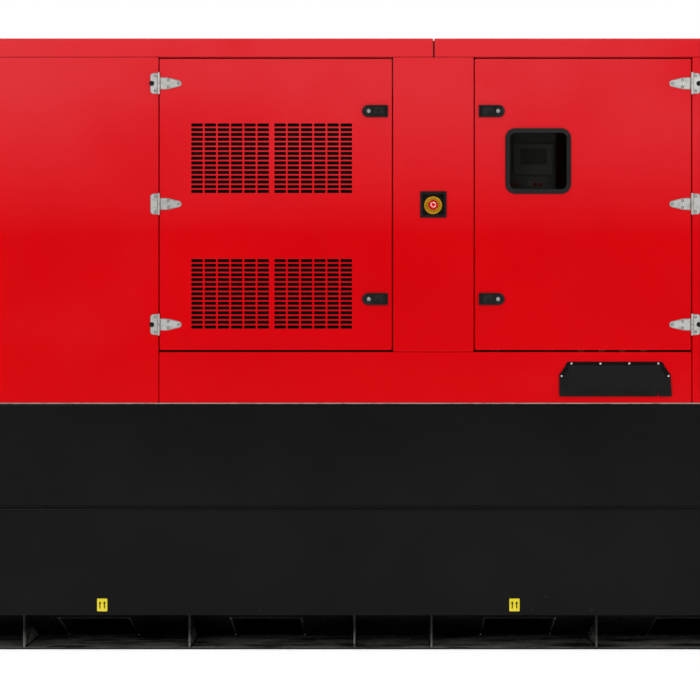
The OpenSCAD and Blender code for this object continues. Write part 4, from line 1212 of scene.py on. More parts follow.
def skid_sides():
    """Side plates of the skid: upright face, inward slope, pocket cut-outs and bottom flange."""
    lo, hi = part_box("skid_side_front")
    tubes = pocket_tube_rects()
    half = BASE_SHEET / 2
    face = [(FRONT_Y + 60 * MM, hi.z - half), (FRONT_Y + half, hi.z - half), (FRONT_Y + half, FOLD_Z),
            (FRONT_Y + FOOT_DEPTH - 14 * MM, 10 * MM)]
    for name in ("front", "rear"):
        plate = bent_plate("skid plate " + name, face, 9 * MM, BASE_SHEET, lo.x, hi.x, BLACK_PAINT)
        cuts = [((x0, FRONT_Y - 0.05, 0), (x1, FRONT_Y + 0.4, top)) for x0, x1, _, top in tubes]
        plate = cut_with(plate, box_object("pocket cuts", cuts, BLACK_PAINT))
        foot = box_object("skid foot " + name, [((lo.x, FRONT_Y, 0), (hi.x, FRONT_Y + FOOT_DEPTH, 8 * MM))],
                          THICK_PAINT)
        if name == "rear":
            flip_over(plate.data)
            flip_over(foot.data)
        place_piece(plate, "root", "base_black", "skid_side_" + name)
        place_piece(round_edges(foot, 2 * MM), "root", "base_black")


def pocket_tube_rects():
    """Outer (x0, x1, z0, z1) of the four pocket tubes, from the width of the outermost ones."""
    lo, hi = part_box("fork_pocket_tubes")
    width = 292 * MM
    outer = hi.x - width / 2
    inner = 512 * MM
    return [(x - width / 2, x + width / 2, lo.z, hi.z) for x in (-outer, -inner, inner, outer)]


def pocket_tubes():
    """Fork pocket tubes with round corners, mitred to the slope of the skid's side."""
    bm = bmesh.new()
    wall = 6 * MM
    for x0, x1, z0, z1 in pocket_tube_rects():
        loops = []
        centre = ((x0 + x1) / 2, (z0 + z1) / 2)
        for inset, r in ((0, 10 * MM), (wall, 5 * MM)):
            outline = moved(rounded_rect(x1 - x0 - 2 * inset, z1 - z0 - 2 * inset, r, 4), *centre)
            for way in (-1, 1):
                ring = []
                for x, z in outline:
                    depth = max(0.0, (FOLD_Z - z) / (FOLD_Z - 8 * MM) * (FOOT_DEPTH - 16 * MM))
                    ring.append(bm.verts.new((x, way * (REAR_Y - min(depth, FOOT_DEPTH - 16 * MM)), z)))
                loops.append(ring)
        outer_front, outer_rear, inner_front, inner_rear = loops
        join_loops(bm, outer_front, outer_rear)
        join_loops(bm, inner_front, inner_rear)
        join_loops(bm, outer_front, inner_front)
        join_loops(bm, outer_rear, inner_rear)
    obj = make_mesh("fork pockets", bm, POCKET_PAINT)
    place_piece(round_edges(obj, 1.2 * MM), "root", "base_black", "fork_pocket_tubes")


def weld_bead(bm, path, radius):
    """A weld bead: a thin rope with the ripples of the weld."""
    pts = []
    total = sum((Vector(b) - Vector(a)).length for a, b in zip(path, path[1:]))
    count = max(8, int(total / (3.0 * MM)))
    for i in range(count + 1):
        t = i / count * (len(path) - 1)
        k = min(int(t), len(path) - 2)
        pts.append(Vector(path[k]).lerp(Vector(path[k + 1]), t - k))
    rings = []
    for i, p in enumerate(pts):
        r = radius * (1.0 + 0.22 * (i % 2))
        along = (pts[min(i + 1, count)] - pts[max(i - 1, 0)]).normalized()
        side = along.cross(Vector((0.3, 0.5, 0.8))).normalized()
        other = side.cross(along)
        rings.append([bm.verts.new(p + (side * math.cos(a) + other * math.sin(a)) * r)
                      for a in (k * math.pi / 3 for k in range(6))])
    join_run(bm, rings)
    bm.faces.new(rings[0])
    bm.faces.new(rings[-1][::-1])


def skid_gussets():
    """Triangular plates that brace the foot, with their weld beads."""
    pitch = 663 * MM
    plates = bmesh.new()
    beads = bmesh.new()
    half = 4 * MM
    deep = FOOT_DEPTH - 16 * MM
    for way in (-1, 1):
        for step in (-2.23, -1.23, -0.233, 0.233, 1.23, 2.23):
            x = step * pitch
            corners = [(0, 8 * MM), (deep, 8 * MM), (0, FOLD_Z)]
            sides = []
            for sx in (-half, half):
                sides.append([plates.verts.new((x + sx, way * (REAR_Y - y), z)) for y, z in corners])
            plates.faces.new(sides[0])
            plates.faces.new(sides[1][::-1])
            join_loops(plates, sides[0], sides[1])
            for sx in (-half - 1 * MM, half + 1 * MM):
                low_line = [(x + sx, way * (REAR_Y - 6 * MM), 9 * MM),
                            (x + sx, way * (REAR_Y - deep + 20 * MM), 9 * MM)]
                slope = [(x + sx, way * (REAR_Y - deep + 12 * MM), 12 * MM),
                         (x + sx, way * (REAR_Y - 4 * MM), FOLD_Z - 5 * MM)]
                weld_bead(beads, low_line, 2.6 * MM)
                weld_bead(beads, slope, 2.6 * MM)
    gussets = make_mesh("skid gusset plates", plates, THICK_PAINT)
    place_piece(round_edges(gussets, 1.2 * MM), "root", "base_black", "skid_gussets")
    piece("gusset weld beads", beads, BLACK_PAINT, "root", "base_black", angle=60)


def upper_rails():
    """C rails of the upper base with rounded bends."""
    for name in ("front", "rear"):
        node = "upper_rail_" + name
        lo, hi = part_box(node)
        half = BASE_SHEET / 2
        inner = 130 * MM
        path = [(FRONT_Y + inner, lo.z + half), (FRONT_Y + half, lo.z + half),
                (FRONT_Y + half, hi.z - half), (FRONT_Y + inner, hi.z - half)]
        rail = bent_plate("folded rail " + name, path, 7 * MM, BASE_SHEET, lo.x, hi.x, BLACK_PAINT)
        if name == "rear":
            flip_over(rail.data)
        place_piece(rail, "root", "base_black", node)


def soften(node, width, angle=40.0):
    """Round edges on a node that keeps its own mesh."""
    obj = NODES[node]
    weld = obj.modifiers.new("weld", "WELD")
    weld.merge_threshold = 1e-5
    return round_edges(obj, width, 2, angle)


# -------------------------------- hinges and latches

HINGE_NODES = {
    "louvre_door": ("louvre_door_straps", 1, False),
    "window_door": ("window_door_straps", -1, False),
    "service_door": ("service_door_straps", 1, True),
}
KNUCKLE_R = 4.5 * MM
FACE_Y = 4.8 * MM
LEAF = (34 * MM, 83 * MM)
STRAP = (91 * MM, 48 * MM, 40 * MM, 13 * MM)


def plate_with_rim(bm, outline, y_back, y_front, place, rim=1.6 * MM, sink=0.7 * MM, centre=(0, 0)):
    """A pressed plate: rounded outer edge, a raised rim and a slightly sunk field."""
    cx, cz = centre

    def shrink(pts, by):
        out = []
        for x, z in pts:
            d = Vector((x - cx, z - cz))
            reach = max(d.length - by, 0)
            d = d.normalized() * reach
            out.append((cx + d.x, cz + d.y))
        return out
    steps = ((outline, y_back), (outline, y_front + 0.5 * MM), (shrink(outline, 0.5 * MM), y_front),
             (shrink(outline, rim), y_front), (shrink(outline, rim + 0.8 * MM), y_front + sink))
    loops = [loop_of(bm, pts, y, place) for pts, y in steps]
    join_run(bm, loops, caps=True)


def screw_head(bm, at, radius, place, height=1.6 * MM):
    """Low round screw head with a socket, facing -Y."""
    turn = place @ shift(at[0], at[1], at[2]) @ TURN_OUT
    h = height
    profile = [(radius, 0), (radius, h * 0.35), (radius * 0.86, h * 0.8),
               (radius * 0.62, h), (radius * 0.42, h)]
    add_lathe(bm, profile, turn, 20)
    add_lathe(bm, [(radius * 0.42, h), (radius * 0.40, h * 0.2), (0, h * 0.1)], turn, 6)


def screw_shade_disc(bm, at, radius, place):
    """A thin dark disc round a screw: painted shade standing in for the shadow of a countersink."""
    turn = place @ Matrix.Translation(at) @ TURN_OUT
    add_lathe(bm, turned(radius, (None, -0.3), (0, -0.3), (0, 0.25), (None, 0.25)), turn, 20)


def knuckle(bm, z0, z1, place):
    edge = 0.7 * MM
    r = KNUCKLE_R
    profile = [(0, z0), (r - edge, z0), (r, z0 + edge), (r, z1 - edge), (r - edge, z1), (0, z1)]
    add_lathe(bm, profile, place, 28)


def leaf_outline():
    """Fixed leaf: round outer corners, straight edge by the knuckle."""
    w, h = LEAF
    r = 12 * MM
    pts = [(-KNUCKLE_R - 0.8 * MM, -h / 2), (-KNUCKLE_R - 0.8 * MM, h / 2)]
    for cz, start in ((h / 2 - r, 90), (r - h / 2, 180)):
        for i in range(7):
            a = math.radians(start + 90 * i / 6)
            pts.append((-w + r + r * math.cos(a), cz + r * math.sin(a)))
    return pts


def strap_outline():
    """Door strap: parallel by the knuckle, then a taper to a round tip."""
    length, h, straight, tip = STRAP
    pts = [(KNUCKLE_R + 0.8 * MM, h / 2), (KNUCKLE_R + 0.8 * MM, -h / 2)]
    slope = math.atan2(h / 2 - tip, length - tip - straight)
    pts += [(straight * 0.6, -h / 2), (straight, -h / 2 + 1.5 * MM)]
    for i in range(13):
        a = -math.pi / 2 + slope * 0.9 + (math.pi - 1.8 * slope) * i / 12
        pts.append((length - tip + tip * math.cos(a), tip * math.sin(a)))
    pts += [(straight, h / 2 - 1.5 * MM), (straight * 0.6, h / 2)]
    return pts


def hinge_places(node, side, rear):
    """Origins of the three hinge axes of a door, and the matrix that turns them to face outwards."""
    lo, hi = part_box(node)
    axis_x = lo.x + KNUCKLE_R if side > 0 else hi.x - KNUCKLE_R
    low_z = lo.z + STRAP[1] / 2
    high_z = hi.z - 44 * MM
    y = FRONT_Y - FACE_Y
    turn = Matrix.Diagonal((side, 1, 1, 1))
    return [mirror_y(rear) @ shift(axis_x, y, z) @ turn
            for z in (low_z, (low_z + high_z) / 2, high_z)]


def hinges():
    """Lift-off strap hinges: polished leaves and straps, with black caps and small screws."""
    leaves = bmesh.new()
    caps = bmesh.new()
    leaf_screws = bmesh.new()
    leaf_shade_discs = bmesh.new()
    for door, (node, side, rear) in HINGE_NODES.items():
        straps = bmesh.new()
        strap_screws = bmesh.new()
        strap_shade_discs = bmesh.new()
        for i, place in enumerate(hinge_places(node, side, rear)):
            front = FACE_Y - 3 * MM
            plate_with_rim(leaves, leaf_outline(), FACE_Y, front, place, centre=(-19 * MM, 0))
            knuckle(leaves, -44 * MM, -0.5 * MM, place)
            add_box(leaves, (-KNUCKLE_R - 1.5 * MM, front + 0.4 * MM, -LEAF[1] / 2 + 1 * MM),
                       (-0.5 * MM, FACE_Y - 0.2 * MM, -1.5 * MM), place)
            for z in (-30 * MM, 30 * MM):
                screw_head(leaf_screws, (-14 * MM, front + 0.7 * MM, z), 3.6 * MM, place)
                # dark disc of painted shade round the screw
                screw_shade_disc(leaf_shade_discs, (-14 * MM, front + 0.7 * MM, z), 5.4 * MM, place)
            if i == 1:
                screw_head(leaf_screws, (-25 * MM, front + 0.7 * MM, 0), 3 * MM, place, 1 * MM)
            else:
                turn = place @ shift(-28 * MM, FACE_Y, 0) @ Matrix.Rotation(
                    math.radians(90), 4, "X")
                add_lathe(caps, in_mm((10, 0), (10, 4.4), (8.6, 5.8), (0, 6.6)), turn, 24)
            plate_with_rim(straps, strap_outline(), FACE_Y, front, place, 2.4 * MM, 0.9 * MM, (38 * MM, 0))
            knuckle(straps, 0.3 * MM, 44 * MM, place)
            add_box(straps, (0.5 * MM, front + 0.4 * MM, 1.5 * MM),
                       (KNUCKLE_R + 2.2 * MM, FACE_Y - 0.2 * MM, STRAP[1] / 2 - 1 * MM), place)
            for x, z in ((38 * MM, -13 * MM), (38 * MM, 13 * MM), (STRAP[0] - STRAP[3], 0)):
                screw_head(strap_screws, (x, front + 0.9 * MM, z), 3.6 * MM, place)
                # dark disc of painted shade round the screw
                screw_shade_disc(strap_shade_discs, (x, front + 0.9 * MM, z), 5.4 * MM, place)
        name = words(door)
        piece(name + " strap plates", straps, STAINLESS, door, "stainless", node)
        piece(name + " strap screws", strap_screws, ZINC, door, "stainless")
        piece(name + " screw seats", strap_shade_discs, SATIN_BLACK, door, "stainless")
    piece("hinge leaf plates", leaves, STAINLESS, "root", "stainless", "hinge_leaves")
    piece("hinge leaf screws", leaf_screws, ZINC, "root", "stainless")
    piece("hinge leaf screw seats", leaf_shade_discs, SATIN_BLACK, "root", "stainless")
    piece("hinge leaf caps", caps, PLASTIC, "root", "latch_black")


LATCH = (104 * MM, 48 * MM, 7 * MM)
PIN_X = LATCH[1] / 2 + 20 * MM
LATCH_NODES = {
    "louvre_door": ("louvre_door_latches", "louvre_paddle", 1, False),
    "window_door": ("window_door_latches", "window_paddle", -1, False),
    "service_door": ("service_door_latches", "service_paddle", 1, True),
}


def latch_outline(inset=0.0):
    """Round on the lock's end, square with small corners towards the door's edge."""
    length, h, _ = LATCH
    r = h / 2
    pts = []
    for i in range(19):
        a = math.radians(90 + 10 * i)
        pts.append((r + (r - inset) * math.cos(a), (r - inset) * math.sin(a)))
    c = 2.5 * MM
    x1, z1 = length - inset, r - inset
    pts += [(x1 - c, -z1), (x1 - 0.3 * c, -z1 + 0.3 * c), (x1, -z1 + c)]
    pts += [(x1, z1 - c), (x1 - 0.3 * c, z1 - 0.3 * c), (x1 - c, z1)]
    return pts


def latch_housing(bm, place):
    """Cast housing with a soft rim and the well behind the paddle."""
    thick = LATCH[2]
    steps = ((0.0, 0), (0.0, -thick + 1.6 * MM), (0.5 * MM, -thick + 0.6 * MM), (1.6 * MM, -thick))
    rims = [loop_of(bm, latch_outline(inset), y, place) for inset, y in steps]
    join_run(bm, rims)
    bm.faces.new(rims[0][::-1])
    well = moved(rounded_rect(LATCH[0] - PIN_X - 1 * MM, LATCH[1] - 8 * MM, 3 * MM, 3),
                 (PIN_X - 3 * MM + LATCH[0] - 4 * MM) / 2, 0)
    pit = [loop_of(bm, well, -thick, place), loop_of(bm, well, -1.2 * MM, place)]
    join_run(bm, pit)
    bm.faces.new(pit[1])
    fill_between(bm, [rims[-1], pit[0]])


def lock_barrel(bm, place):
    """Bright barrel with its keyway."""
    at = place @ shift(LATCH[1] / 2 + 3 * MM, -LATCH[2], 0) @ TURN_OUT
    barrel = turned(8 * MM, (0, -1), (0, 1.2), (-0.9, 2), (-2.4, 2), (-2.9, 1.5), (-3.2, 1.9), (None, 1.9))
    add_lathe(bm, barrel, at, 32)
    add_box(bm, (-0.7 * MM, -3.2 * MM, 1.7 * MM), (0.7 * MM, 3.2 * MM, 2.05 * MM), at)


def finger_paddle(bm, place):
    """Paddle with a sunk oval for the finger, on its pin."""
    x1 = LATCH[0] - 12.5 * MM
    mid_x = (PIN_X + x1) / 2
    wide = x1 - PIN_X
    tall = LATCH[1] - 8 * MM - 1.6 * MM
    outline = moved(rounded_rect(wide, tall, 2.5 * MM, 3), mid_x, 0)
    eased = moved(rounded_rect(wide - 1.2 * MM, tall - 1.2 * MM, 2 * MM, 3), mid_x, 0)
    oval, dish = (moved(rounded_rect(0.62 * wide - 2 * k, 0.6 * tall - 2 * k, 0.28 * tall - k, 5), mid_x, 0)
                  for k in (0, 1.2 * MM))
    steps = ((outline, -2.4), (outline, -6.3), (eased, -6.8), (oval, -6.8), (dish, -6.1))
    tops = [loop_of(bm, pts, y * MM, place) for pts, y in steps]
    join_run(bm, tops[:3])
    join_run(bm, tops[3:])
    fill_between(bm, [tops[2], tops[3]])
    bm.faces.new(tops[4])
    bm.faces.new(tops[0][::-1])
    roll = place @ shift(PIN_X, -4.6 * MM, 0)
    add_lathe(bm, [(0, -tall / 2), (2.2 * MM, -tall / 2), (2.2 * MM, tall / 2), (0, tall / 2)], roll, 16)


def latches():
    """Paddle latches: cast housings, lock barrels and the paddles that move."""
    for door, (node, paddle, side, rear) in LATCH_NODES.items():
        lo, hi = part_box(node)
        x = lo.x if side > 0 else hi.x
        housings = bmesh.new()
        barrels = bmesh.new()
        for level, z in (("top", hi.z - LATCH[1] / 2), ("low", lo.z + LATCH[1] / 2)):
            place = mirror_y(rear) @ shift(x, FRONT_Y, z) @ Matrix.Diagonal((side, 1, 1, 1))
            latch_housing(housings, place)
            lock_barrel(barrels, place)
            flap = bmesh.new()
            finger_paddle(flap, place)
            body = f"{paddle}_{level}"
            piece(words(body) + " flap", flap, SATIN_BLACK, body, "latch_black", body)
        name = words(door)
        piece(name + " latch housings", housings, SATIN_BLACK, door, "latch_black", node)
        piece(name + " lock barrels", barrels, STAINLESS, door, "stainless")


# -------------------------------- stop button, window and controls

STOP_FLOOR = 30 * MM


def stop_tub(centre, side):
    """Square tub with a rounded flange and a hollow back."""
    inner = side - 22 * MM
    bm = bmesh.new()
    outer = [(side, 3 * MM, 0.0), (side, 3 * MM, -2.8 * MM), (side - 1.2 * MM, 2.6 * MM, -3.7 * MM),
             (side - 3 * MM, 2 * MM, -4 * MM), (inner + 3 * MM, 3 * MM, -4 * MM), (inner, 3 * MM, -2.6 * MM),
             (inner, 3 * MM, STOP_FLOOR - 2 * MM), (inner - 3 * MM, 3 * MM, STOP_FLOOR)]
    loops = [loop_of(bm, rounded_rect(w, w, r, 4), y, centre) for w, r, y in outer]
    join_run(bm, loops)
    bm.faces.new(loops[-1])
    back = loop_of(bm, rounded_rect(side - 16 * MM, side - 16 * MM, 3 * MM, 4), 0, centre)
    deep = loop_of(bm, rounded_rect(side - 16 * MM, side - 16 * MM, 3 * MM, 4), STOP_FLOOR + 3 * MM, centre)
    join_run(bm, [loops[0], back, deep])
    bm.faces.new(deep[::-1])
    piece("stop tub", bm, PLASTIC, "root", "latch_black", "stop_bezel")


def stop_legend(face):
    """Yellow disc with a raised rim and plain tick marks."""
    disc = bmesh.new()
    add_lathe(disc, in_mm((0, 0), (36, 0), (36, 1.4), (35.2, 2), (31.5, 2), (31, 1.7),
                          (22.5, 1.7), (22, 2), (0, 2)), face, 64)
    piece("stop legend disc", disc, LEGEND, "root", "marker_yellow")
    ticks = bmesh.new()
    for i in range(24):
        turn = face @ Matrix.Rotation(math.radians(15 * i), 4, "Z")
        long = 2.2 * MM if i % 6 else 3.2 * MM
        add_box(ticks, (26.7 * MM - long, -1.1 * MM, 1.5 * MM), (26.7 * MM + long, 1.1 * MM, 1.95 * MM), turn)
    piece("stop legend ticks", ticks, PLASTIC, "root", "latch_black")


def stop_mushroom(face):
    """Stem and mushroom head with a soft rim."""
    lo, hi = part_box("stop_head")
    r = (hi.x - lo.x) / 2
    cap = turned(r, (-4, 7.5), (-1, 9), (0, 11.5), (0, 14.5), (-0.8, 17.5), (-2.6, 20.5), (-5.2, 22.6),
                 (-9, 23.6), (None, 24))
    head = bmesh.new()
    add_lathe(head, in_mm((0, -19), (11, -19), (11, 7)) + cap, face, 48)
    piece("stop mushroom", head, STOP_RED, "stop_head", "stop_red", "stop_head")


def turn_arrows(face):
    """Three white arrows round the top of the head."""
    arrows = bmesh.new()
    inner, outer = 8.4 * MM, 10.6 * MM
    for start in (0, 120, 240):
        arc = [math.radians(start + 80 * i / 8) for i in range(9)]
        tip = math.radians(start + 100)
        pts = [(outer * math.cos(a), outer * math.sin(a)) for a in arc]
        pts += [(r * MM * math.cos(tip + a), r * MM * math.sin(tip + a))
                for r, a in ((12.2, -0.33), (8.8, 0.05), (5.4, -0.33))]
        pts += [(inner * math.cos(a), inner * math.sin(a)) for a in reversed(arc)]
        rise = [arrows.verts.new(face @ Vector((x, y, 24.35 * MM - 0.04 * math.hypot(x, y)))) for x, y in pts]
        sunk = [arrows.verts.new(face @ Vector((x, y, 22.6 * MM))) for x, y in pts]
        arrows.faces.new(rise)
        arrows.faces.new(sunk[::-1])
        join_loops(arrows, rise, sunk)
    piece("stop turn arrows", arrows, WHITE, "stop_head", "stop_red")


def stop_button():
    lo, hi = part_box("stop_bezel")
    centre = shift((lo.x + hi.x) / 2, FRONT_Y, (lo.z + hi.z) / 2)
    stop_tub(centre, hi.x - lo.x)
    face = centre @ shift(0, STOP_FLOOR, 0) @ TURN_OUT
    stop_legend(face)
    stop_mushroom(face)
    turn_arrows(face)


def window():
    """Rubber glazing profile carried round the opening, and the dark pane."""
    lo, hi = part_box("window_seal")
    cx, cz = (lo.x + hi.x) / 2, (lo.z + hi.z) / 2
    side = hi.x - lo.x
    place = shift(cx, FRONT_Y, cz)
    section = [(0, 0.4), (0.2, -3.2), (1.2, -5.6), (3.4, -6.9), (6.5, -7.0), (8.2, -6.2), (8.8, -5.4),
               (9.4, -6.2), (11, -6.9), (14.5, -6.4), (17.6, -4.9), (19.6, -2.4), (20, 0.5), (19.5, 4.5),
               (17, 7.5), (14.4, 8.6), (14.2, 3.1), (14.2, -0.1)]
    bm = bmesh.new()
    loops = []
    for inset, y in section:
        w = side - 2 * inset * MM
        loops.append(loop_of(bm, rounded_rect(w, w, max(40 - inset, 18) * MM, 10), y * MM, place))
    join_run(bm, loops + loops[:1])
    piece("window glazing seal", bm, GLAZING, "window_door", "mount_rubber", "window_seal", angle=60)
    bm = bmesh.new()
    pane_lo, pane_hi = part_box("window_glass")
    w = pane_hi.x - pane_lo.x
    front = loop_of(bm, rounded_rect(w, w, 22 * MM, 8), pane_lo.y - FRONT_Y, place)
    back = loop_of(bm, rounded_rect(w, w, 22 * MM, 8), pane_hi.y - FRONT_Y, place)
    join_loops(bm, front, back)
    bm.faces.new(front)
    bm.faces.new(back[::-1])
    piece("window pane", bm, PANE, "window_door", "pane", "window_glass")


KEY_HOLE_R = 8.3 * MM
PLATE_THICK = 3 * MM


def control_sheet(lo, hi, key, here):
    """Grey sheet with the hole of the key switch."""
    bm = bmesh.new()
    outline = moved(rounded_rect(hi.x - lo.x, hi.z - lo.z, 4 * MM, 4), (lo.x + hi.x) / 2, (lo.z + hi.z) / 2)
    hole = moved(circle_pts(KEY_HOLE_R, 24), key.x, key.z)
    sheet = [loop_of(bm, outline, y, here) for y in (0, -PLATE_THICK)]
    round_hole = [loop_of(bm, hole, y, here) for y in (0, -PLATE_THICK)]
    join_run(bm, sheet)
    join_run(bm, round_hole)
    fill_between(bm, [sheet[0], round_hole[0]])
    fill_between(bm, [sheet[1], round_hole[1]])
    piece("control plate sheet", bm, GREY, "root", "cabinet_grey", "control_plate")


def controller(key, here):
    """Controller with a stepped bezel, a row of keys and its dark display."""
    cx = key.x + 14 * MM
    cz = key.z + 98 * MM
    body = bmesh.new()
    rings = [(166, 132, 5, -3), (166, 132, 5, -11), (162, 128, 5, -15.4), (156, 122, 4, -16),
             (140, 108, 3, -16), (138, 106, 3, -14.8)]
    loops = [loop_of(body, moved(rounded_rect(w * MM, h * MM, r * MM, 4), cx, cz), y * MM, here)
             for w, h, r, y in rings]
    join_run(body, loops, caps=True)
    for i in range(5):
        add_box(body, (cx + (-57 + 25 * i) * MM, -17.2 * MM, cz - 46 * MM),
                (cx + (-43 + 25 * i) * MM, -14.4 * MM, cz - 33 * MM), here)
    piece("controller body", body, GREY, "root", "latch_black", rounding=0.5 * MM)
    screen = bmesh.new()
    plate_y = here.translation.y
    add_box(screen, (cx - 54 * MM, plate_y - 15.6 * MM, cz - 22 * MM),
            (cx + 54 * MM, plate_y - 14.5 * MM, cz + 44 * MM))
    piece("controller display", screen, SCREEN, "root", "pane")


def key_switch(key, here):
    """Six-sided lock ring, barrel and the key's grip."""
    at = shift(key.x, here.translation.y, key.z) @ TURN_OUT
    ring = bmesh.new()
    add_lathe(ring, in_mm((8.3, 2), (13, 2.4), (13, 10), (11.8, 11.8), (8.3, 12)), at, 6)
    barrel = bmesh.new()
    add_lathe(barrel, in_mm((0, 0), (8, 0), (8, 13), (7, 14), (0, 14)), at, 32)
    grip = [loop_of(barrel, moved(rounded_rect(4 * MM, 18 * MM, 1.2 * MM, 3), key.x, key.z), y * MM, here)
            for y in (-13.8, -33, -34)]
    join_run(barrel, grip)
    barrel.faces.new(grip[-1])
    piece("key lock ring", ring, ZINC, "root", "stainless")
    piece("key and barrel", barrel, BRIGHT, "key_switch", "stainless", "key_switch")


def controls():
    """Control plate with its controller, key switch, indicator lamps and screws."""
    lo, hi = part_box("control_plate")
    box_lo, box_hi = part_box("control_cabinet")
    key = middle("key_switch")
    here = shift(0, box_lo.y, 0)
    control_sheet(lo, hi, key, here)
    controller(key, here)
    key_switch(key, here)
    lamps = bmesh.new()
    screws = bmesh.new()
    face_y = box_lo.y - PLATE_THICK
    for x in (-74, -50, 20, 44):
        spot = shift(key.x + x * MM, face_y, key.z - 4 * MM) @ TURN_OUT
        add_lathe(lamps, in_mm((7, 0), (7, 3), (5, 6), (0, 7.5)), spot, 20)
    for x in (lo.x + 12 * MM, hi.x - 12 * MM):
        for z in (lo.z + 12 * MM, (lo.z + hi.z) / 2, hi.z - 12 * MM):
            screw_head(screws, (x, face_y, z), 4 * MM, IN_PLACE)
    piece("control lamps", lamps, STOP_RED, "root", "stop_red")
    piece("control plate screws", screws, ZINC, "root", "stainless")
    seam = bmesh.new()
    add_box(seam, (box_lo.x + 4 * MM, box_lo.y - 1.2 * MM, hi.z + 10 * MM),
            (box_hi.x - 4 * MM, box_lo.y + 0.2 * MM, box_hi.z - 6 * MM))
    piece("cabinet door seam", seam, GREY, "root", "cabinet_grey", rounding=0.8 * MM)


def slope_band(bm, points, width, y_back, y_front):
    """A flat band of a given width inside a run of (x, z) points."""
    inner = []
    for i, (x, z) in enumerate(points):
        before = Vector(points[max(i - 1, 0)])
        after = Vector(points[min(i + 1, len(points) - 1)])
        along = (after - before).normalized()
        inner.append((x + along.y * width, z - along.x * width))
    outline = list(points) + inner[::-1]
    front = loop_of(bm, outline, y_front, IN_PLACE)
    back = loop_of(bm, outline, y_back, IN_PLACE)
    fill_between(bm, [front])
    fill_between(bm, [back])
    join_loops(bm, front, back)


def flap():
    """Rubber cable flap with cropped top corners, edge bands and a slit; its clamp strip and screws."""
    lo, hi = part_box("cable_flap")
    strip_lo, strip_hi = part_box("flap_strip")
    lean = 4 * MM
    slit_x = hi.x - 52 * MM
    side_z = strip_hi.z - 53 * MM
    crop_x = 37 * MM
    neck_x = crop_x * (hi.z - side_z) / (strip_hi.z - side_z)

    def leaning(z):
        return lean * (hi.z - z) / (hi.z - lo.z)

    outline = [(lo.x + 3 * MM, lo.z), (slit_x - 0.8 * MM, lo.z), (slit_x, lo.z + 34 * MM),
               (slit_x + 0.8 * MM, lo.z), (hi.x - 3 * MM, lo.z), (hi.x, lo.z + 3 * MM), (hi.x, side_z),
               (hi.x - neck_x, hi.z),
               (lo.x + neck_x, hi.z), (lo.x, side_z), (lo.x, lo.z + 3 * MM)]
    bm = bmesh.new()
    front = [bm.verts.new((x, lo.y - leaning(z), z)) for x, z in outline]
    back = [bm.verts.new((x, hi.y - leaning(z), z)) for x, z in outline]
    for v in front[3:6] + back[3:6]:
        v.co.x += 4 * MM
        v.co.y -= 3 * MM
    fill_between(bm, [front])
    fill_between(bm, [back])
    join_loops(bm, front, back)
    piece("cable flap sheet", bm, RUBBER, "cable_flap", "mount_rubber", "cable_flap")
    bands = bmesh.new()
    near = lo.y - leaning(side_z) - 1.4 * MM
    slope_band(bands, [(lo.x, side_z - 12 * MM), (lo.x, side_z), (lo.x + neck_x, hi.z)], 17 * MM, lo.y, near)
    slope_band(bands, [(hi.x - neck_x, hi.z), (hi.x, side_z), (hi.x, side_z - 12 * MM)], 17 * MM, lo.y, near)
    piece("flap edge bands", bands, BLACK_PAINT, "cable_flap", "mount_rubber")
    shape = bmesh.new()
    add_prism(shape, [(strip_lo.x - crop_x + neck_x, strip_lo.z), (strip_hi.x + crop_x - neck_x, strip_lo.z),
                      (strip_hi.x, strip_hi.z), (strip_lo.x, strip_hi.z)], IN_PLACE,
              FRONT_Y - 3 * MM, FRONT_Y)
    strip = make_mesh("flap clamp strip", shape, BLACK_PAINT)
    place_piece(round_edges(strip, 0.6 * MM), "root", "base_black", "flap_strip")
    screws = bmesh.new()
    width = hi.x - lo.x
    for share in (0.11, 0.37, 0.63, 0.89):
        screw_head(screws, (lo.x + share * width, FRONT_Y - 3 * MM, (strip_lo.z + strip_hi.z) / 2), 4.6 * MM,
                   IN_PLACE, 2.6 * MM)
    piece("flap strip screws", screws, ZINC, "root", "stainless")
    ears = bmesh.new()
    for x in (lo.x + 9 * MM, hi.x - 9 * MM):
        screw_head(ears, (x, near, side_z - 4 * MM), 4.4 * MM, IN_PLACE, 2 * MM)
    piece("flap corner screws", ears, ZINC, "cable_flap", "stainless")


